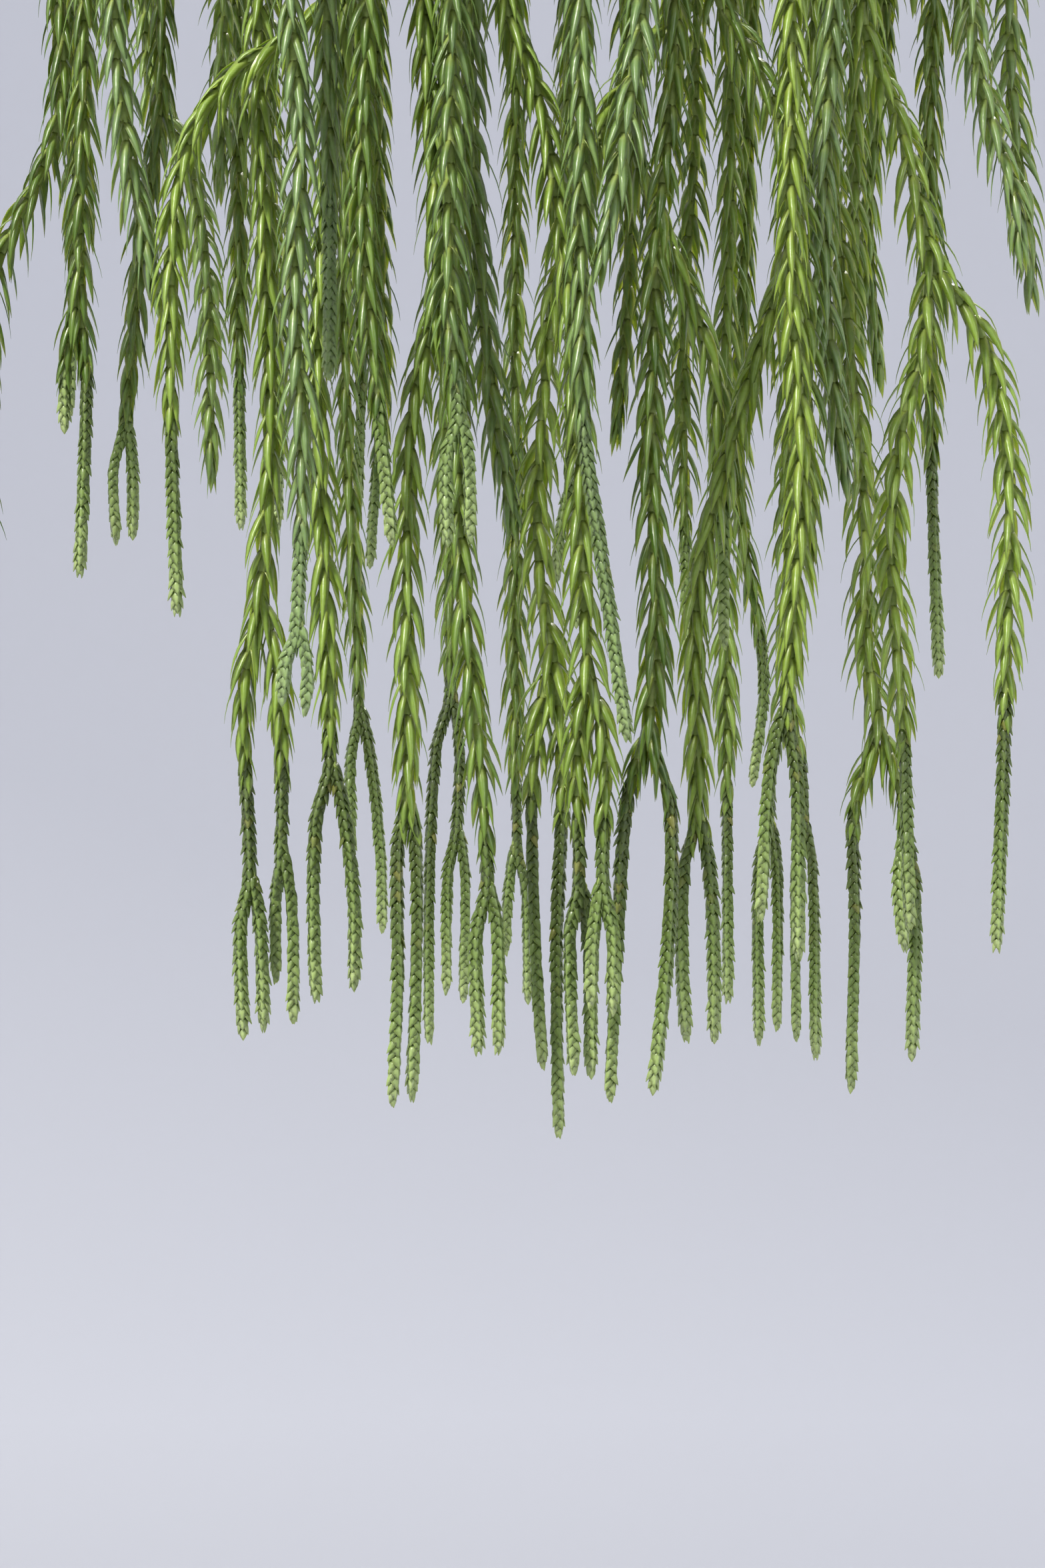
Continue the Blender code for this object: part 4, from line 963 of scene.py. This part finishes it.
def leaf_finish():
    """Waxy leaf and cone scale, one finish.  Leaves run from yellow-green at the base to mid
    green, with a faint pale midrib, bluer or yellower on some stems; scales go with the distance
    to the tip from pale green through mid green to dark green, with a few yellow spore cases."""
    finish = new_finish("leaves_and_cones", IOR=1.45, Specular_IOR_Level=0.6,
                        Subsurface_Weight=0.35, Subsurface_Radius=(0.9, 1.0, 0.25),
                        Subsurface_Scale=0.0012)
    along, across, chance = stored(finish, "blade")
    to_tip, scale, tint = stored(finish, "shoot")
    mottle = noise(finish, 900.0, 3.0)

    green = ramp(finish, chance, [(0.1, (0.036, 0.084, 0.010)), (0.5, (0.088, 0.164, 0.020)),
                                  (0.9, (0.190, 0.305, 0.048))])
    green = mixed(finish, spread(finish, tint, 0.0, 1.0, 0.0, 0.9), green,
                  (0.150, 0.245, 0.088, 1))
    green = mixed(finish, spread(finish, tint, 0.0, -1.0, 0.0, 0.6), green, (0.29, 0.42, 0.045, 1))
    base_glow = spread(finish, along, 0.42, 0.0, 0.0, 0.85)
    green = mixed(finish, base_glow, green, (0.36, 0.42, 0.105, 1))
    rib = maths(finish, "MULTIPLY", spread(finish, across, 0.45, 0.05, 0.0, 0.18),
                spread(finish, along, 0.95, 0.35))
    green = mixed(finish, rib, green, (0.34, 0.42, 0.11, 1))

    cone = ramp(finish, spread(finish, to_tip, 0.0, 0.1),
                [(0.0, (0.47, 0.57, 0.25)), (0.08, (0.35, 0.46, 0.160)),
                 (0.20, (0.200, 0.290, 0.076)), (0.34, (0.100, 0.150, 0.032)),
                 (0.50, (0.060, 0.086, 0.019)), (1.0, (0.046, 0.068, 0.015))])
    cone = mixed(finish, spread(finish, chance, 0.0, 1.0, 0.0, 0.3), cone, (0.15, 0.23, 0.05, 1))
    cone = mixed(finish, spread(finish, along, 0.30, 1.0, 0.0, 0.36), cone, (0.26, 0.35, 0.10, 1))
    # Painted shade: each scale is darker towards its base, where the scales above overlap it.
    cone = mixed(finish, spread(finish, along, 0.45, 0.0, 0.0, 0.5), cone, (0.045, 0.075, 0.014, 1))
    cone = mixed(finish, spread(finish, tint, 0.0, 1.0, 0.0, 0.75), cone, (0.24, 0.35, 0.14, 1))
    spores = maths(finish, "MULTIPLY", spread(finish, chance, 0.94, 0.96, 0.0, 0.7),
                   spread(finish, to_tip, 0.02, 0.05))
    cone = mixed(finish, spores, cone, (0.24, 0.23, 0.05, 1))

    both = mixed(finish, scale, green, cone)
    colour(finish, mixed(finish, spread(finish, mottle, 0.40, 0.75, 0.0, 0.22), both,
                         (0.050, 0.090, 0.010, 1)))
    roughness(finish, spread(finish, mottle, 0.3, 0.7, 0.27, 0.43))
    bump(finish, mottle, 0.00006, 0.5)
    return finish


def put_blades(name, groups, tint, finish):
    """All blades of one kind on a stem as one piece, with the values that their finish reads."""
    shapes = np.concatenate([group[0] for group in groups])
    to_tip, scale, chance = (np.concatenate([group[k] for group in groups]) for k in (1, 2, 3))
    piece = grid_piece(name, shapes, finish)
    count, rows, corners = shapes.shape[:3]
    whole = (count, rows, corners)
    along = np.broadcast_to(np.linspace(0, 1, rows)[None, :, None], whole)
    across = np.broadcast_to(np.array([1.0, 0.0, 1.0, 0.0])[None, None], whole)
    to_tip, scale, chance = (np.broadcast_to(value[:, None, None], whole)
                             for value in (to_tip, scale, chance))
    for layer, values in (("blade", (along, across, chance)),
                          ("shoot", (to_tip, scale, np.full(whole, tint)))):
        made = piece.data.attributes.new(layer, "FLOAT_VECTOR", "POINT")
        made.data.foreach_set("vector", np.stack(values, axis=-1).reshape(-1).astype(np.float32))
    own_map(piece.data, count, rows, corners)
    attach(piece, "root")


leaf_green = leaf_finish()
for number, found in enumerate(paths, start=1):
    draw = np.random.default_rng(1000 + number)
    openness = draw.uniform(0.8, 1.3)
    shade = draw.uniform(0.0, 1.0)
    tint = GLAUCOUS.get(number, 0.0) - YELLOWER.get(number, 0.0)
    leaves = [long_leaves(path, draw, openness, shade) for path in found]
    put_blades(f"stem_{number:02d}_leaves", leaves, tint, leaf_green)
    cones = [cone_scales(path, draw) for path in found if path.cone_start is not None]
    if cones:
        put_blades(f"stem_{number:02d}_cones", cones, tint, leaf_green)


# ---- The hanger ----------------------------------------------------------------------------
# Three zinc-plated wires, hooked up through the eyes in the flange and gathered in a pressed
# steel ferrule, and a bent wire hook whose shank is held in the same ferrule.

WIRE_RADIUS = 0.0010
WIRE_SEAT_RADIUS = 0.0040
HOOK_WIRE_RADIUS = 0.0017
HOOK_INNER_RADIUS = 0.0105
FERRULE_RADIUS = 0.0065
FERRULE_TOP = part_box("ferrule")[1][2]
FERRULE_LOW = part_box("ferrule")[0][2]
FERRULE_SOCKET = 0.006
FERRULE_FIT = 0.0003
FERRULE_CHAMFER = 0.0004
FERRULE_SOFT = 0.0010
PRESSED_AT = (0.33, 0.67)
WIRE_NECK = 0.0070
WIRE_NECK_SPREAD = 0.0016
EYE_LEAD = 0.0120
EYE_LEAD_OFFSET = 0.0022
EYE_STRAIGHT = 0.0030
LOOP_RADIUS = 0.0019
TAIL_GAP = 0.0022
HOOK_START = 190.0
HOOK_END = -58.0
HOOK_NECK = ((0.42, 0.0042), (0.12, 0.0092), (0.0, 0.0150))
HOOK_FREE_END = 0.003


def wire_finish():
    """Zinc-plated steel: bright, dulled in patches, with a fine grain."""
    finish = new_finish("hanger_steel", Metallic=1.0)
    patches = noise(finish, 160.0, 4.0)
    colour(finish, ramp(finish, patches, [(0.3, (0.36, 0.36, 0.37)), (0.6, (0.55, 0.56, 0.57)),
                                          (0.85, (0.62, 0.62, 0.62))]))
    roughness(finish, spread(finish, patches, 0.3, 0.7, 0.42, 0.26))
    bump(finish, noise(finish, 1800.0, 2.0), 0.00004, 0.5)
    return finish


def swept(route, radius, corners, spacing, aside):
    """A wire's grid: a ring of corners carried along the smooth curve through its route."""
    path = Path(Branch([np.array(point) for point in route], None, True), np.array(aside))
    rows = int(path.length / spacing)
    place, ahead, side, other = path.at(np.linspace(0.0, path.length, rows))
    angle = np.linspace(0, 2 * np.pi, corners, endpoint=False)
    ends = np.minimum(np.arange(rows), np.arange(rows)[::-1])
    size = radius * np.where(ends == 0, 0.72, 1.0)[:, None, None]
    return place[:, None] + size * (np.cos(angle)[None, :, None] * side[:, None]
                                    + np.sin(angle)[None, :, None] * other[:, None])


def wire_route(azimuth):
    """One wire's way from its socket in the ferrule to the eye, through it and up in a tail."""
    under = RIM_Z - FLANGE_THICKNESS
    outline = [(WIRE_SEAT_RADIUS, FERRULE_LOW + FERRULE_SOCKET - FERRULE_FIT),
               (WIRE_SEAT_RADIUS, FERRULE_LOW - WIRE_RADIUS),
               (WIRE_SEAT_RADIUS + WIRE_NECK_SPREAD, FERRULE_LOW - WIRE_NECK),
               (EYE_CIRCLE - EYE_LEAD_OFFSET, RIM_Z + EYE_LEAD),
               (EYE_CIRCLE, RIM_Z + EYE_STRAIGHT)]
    outline += arc(EYE_CIRCLE + LOOP_RADIUS, under - EYE_STRAIGHT, LOOP_RADIUS, 180, 360, 5)
    outline += [(EYE_CIRCLE + 2 * LOOP_RADIUS, under - TAIL_GAP)]
    return [(r * math.cos(azimuth), r * math.sin(azimuth), z) for r, z in outline]


def hook_route():
    """The hook's way: round the crook about its own centre, then a swan neck to the shank."""
    turn = HOOK_INNER_RADIUS + HOOK_WIRE_RADIUS
    line = arc(0.0, -HOOK_INNER_RADIUS, turn, HOOK_START, HOOK_END, 17)
    x, z = line[-1]
    line += [(x * share, z - drop) for share, drop in HOOK_NECK]
    line += [(0.0, (FERRULE_TOP + FERRULE_LOW) / 2), (0.0, FERRULE_LOW - HOOK_FREE_END)]
    return [(x, 0.0, z) for x, z in line]


def ferrule_outline():
    """The ferrule: a sleeve with rounded ends, and two grooves where it is pressed shut."""
    soft = FERRULE_SOFT
    bore = HOOK_WIRE_RADIUS + FERRULE_FIT
    line = [(bore, FERRULE_TOP - FERRULE_CHAMFER), (bore + FERRULE_CHAMFER, FERRULE_TOP)]
    line += arc(FERRULE_RADIUS - soft, FERRULE_TOP - soft, soft, 90, 0, 6)
    for share in PRESSED_AT:
        ring = FERRULE_TOP + (FERRULE_LOW - FERRULE_TOP) * share
        line += arc(FERRULE_RADIUS + soft / 2, ring, soft, 150, 210, 5)
    line += arc(FERRULE_RADIUS - soft, FERRULE_LOW + soft, soft, 0, -90, 6)
    line += [(bore + FERRULE_CHAMFER, FERRULE_LOW), (bore, FERRULE_LOW + FERRULE_CHAMFER)]
    return line


steel = wire_finish()
for number, azimuth in enumerate(WIRE_AZIMUTHS, start=1):
    across = (-math.sin(azimuth), math.cos(azimuth), 0.0)
    wire = grid_piece(f"hanger_wire_{number}", swept(wire_route(azimuth), WIRE_RADIUS, 12, 0.0012,
                                                     across), steel)
    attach(wire, "root")
    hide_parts(f"wire_{number}")

ferrule = grid_piece("pressed_ferrule", turned(ferrule_outline(), 64), steel, closed_along=True)
ferrule.data.set_sharp_from_angle(angle=math.radians(40))
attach(ferrule, "root")
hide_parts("ferrule")

hook = grid_piece("bent_hook", swept(hook_route(), HOOK_WIRE_RADIUS, 20, 0.0009, (0.0, 1.0, 0.0)),
                  steel)
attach(hook, "root")
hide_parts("hook")


# ---- The studio ----------------------------------------------------------------------------
# A pale floor that sweeps up into a round wall, soft light from above and in front, and a
# level camera with a long lens on the hanging tips.

FLOOR_Z = cad_box[0][2] - 1.15
FLOOR_REACH = 2.6
SWEEP = 1.9
WALL_TOP = 4.5
NEAR_ROW = RIM_RADIUS + 0.015
FRAME_HEIGHT = 0.3293
FRAME_BELOW_TIPS = 0.0910
CAMERA_DISTANCE = 0.850
SENSOR = 36.0


def sweep_grid():
    """The studio floor and wall as one turned sheet: flat, a quarter round, then upright."""
    line = [(0.001, FLOOR_Z), (FLOOR_REACH * 0.5, FLOOR_Z)]
    line += arc(FLOOR_REACH, FLOOR_Z + SWEEP, SWEEP, -90, 0, 24)
    line += [(FLOOR_REACH + SWEEP, FLOOR_Z + WALL_TOP)]
    return turned(line, 96)


def studio_finish():
    """Matt paper in a pale cool grey, a deeper grey on the floor, where the lights are nearer."""
    finish = new_finish("studio_paper", Roughness=0.95, Specular_IOR_Level=0.1)
    place = node(finish, "ShaderNodeTexCoord").outputs["Object"]
    height = node(finish, "ShaderNodeSeparateXYZ", Vector=place).outputs["Z"]
    paper = ramp(finish, noise(finish, 0.5, 1.0, place),
                 [(0.3, (0.630, 0.645, 0.705)), (0.7, (0.655, 0.668, 0.720))])
    colour(finish, mixed(finish, spread(finish, height, FLOOR_Z + 0.25 * SWEEP, FLOOR_Z), paper,
                         (0.47, 0.48, 0.52, 1)))
    return finish


def soft_light(name, place, size, power, tone):
    """A square area light that faces the plant's middle."""
    light = bpy.data.lights.new(name, "AREA")
    light.size = size
    light.energy = power
    light.color = tone
    lamp = bpy.data.objects.new(name, light)
    bpy.context.scene.collection.objects.link(lamp)
    middle = np.array([0.0, 0.0, (cad_box[0][2] + cad_box[1][2]) / 2])
    aim = np.asarray(place) - middle
    flat = math.hypot(aim[0], aim[1])
    lamp.location = place
    lamp.rotation_euler = (math.atan2(flat, aim[2]), 0.0, math.atan2(aim[0], -aim[1]))
    return lamp


backdrop = grid_piece("studio_sweep", sweep_grid(), studio_finish(), capped=False)
soft_light("key", (-1.2, -1.5, 1.3), 0.5, 96.0, (1.0, 0.97, 0.90))
soft_light("fill", (1.8, -1.2, 0.4), 1.2, 14.0, (0.98, 0.98, 1.0))
soft_light("back", (0.7, 1.9, 1.5), 0.8, 92.0, (1.0, 0.98, 0.92))

world = bpy.data.worlds.new("studio_air")
world.use_nodes = True
world.node_tree.nodes["Background"].inputs["Color"].default_value = (0.965, 0.97, 1.0, 1.0)
world.node_tree.nodes["Background"].inputs["Strength"].default_value = 0.76
bpy.context.scene.world = world
bpy.context.scene.view_settings.view_transform = "Standard"

lens = bpy.data.cameras.new("view")
lens.sensor_width = SENSOR
lens.lens = SENSOR * CAMERA_DISTANCE / FRAME_HEIGHT
lens.clip_end = 50.0
camera = bpy.data.objects.new("view", lens)
camera.location = (0.0, -NEAR_ROW - CAMERA_DISTANCE,
                   RIM_Z - LONGEST_DROP - FRAME_BELOW_TIPS + FRAME_HEIGHT / 2)
camera.rotation_euler = (math.pi / 2, 0.0, 0.0)
bpy.context.scene.collection.objects.link(camera)
bpy.context.scene.camera = camera
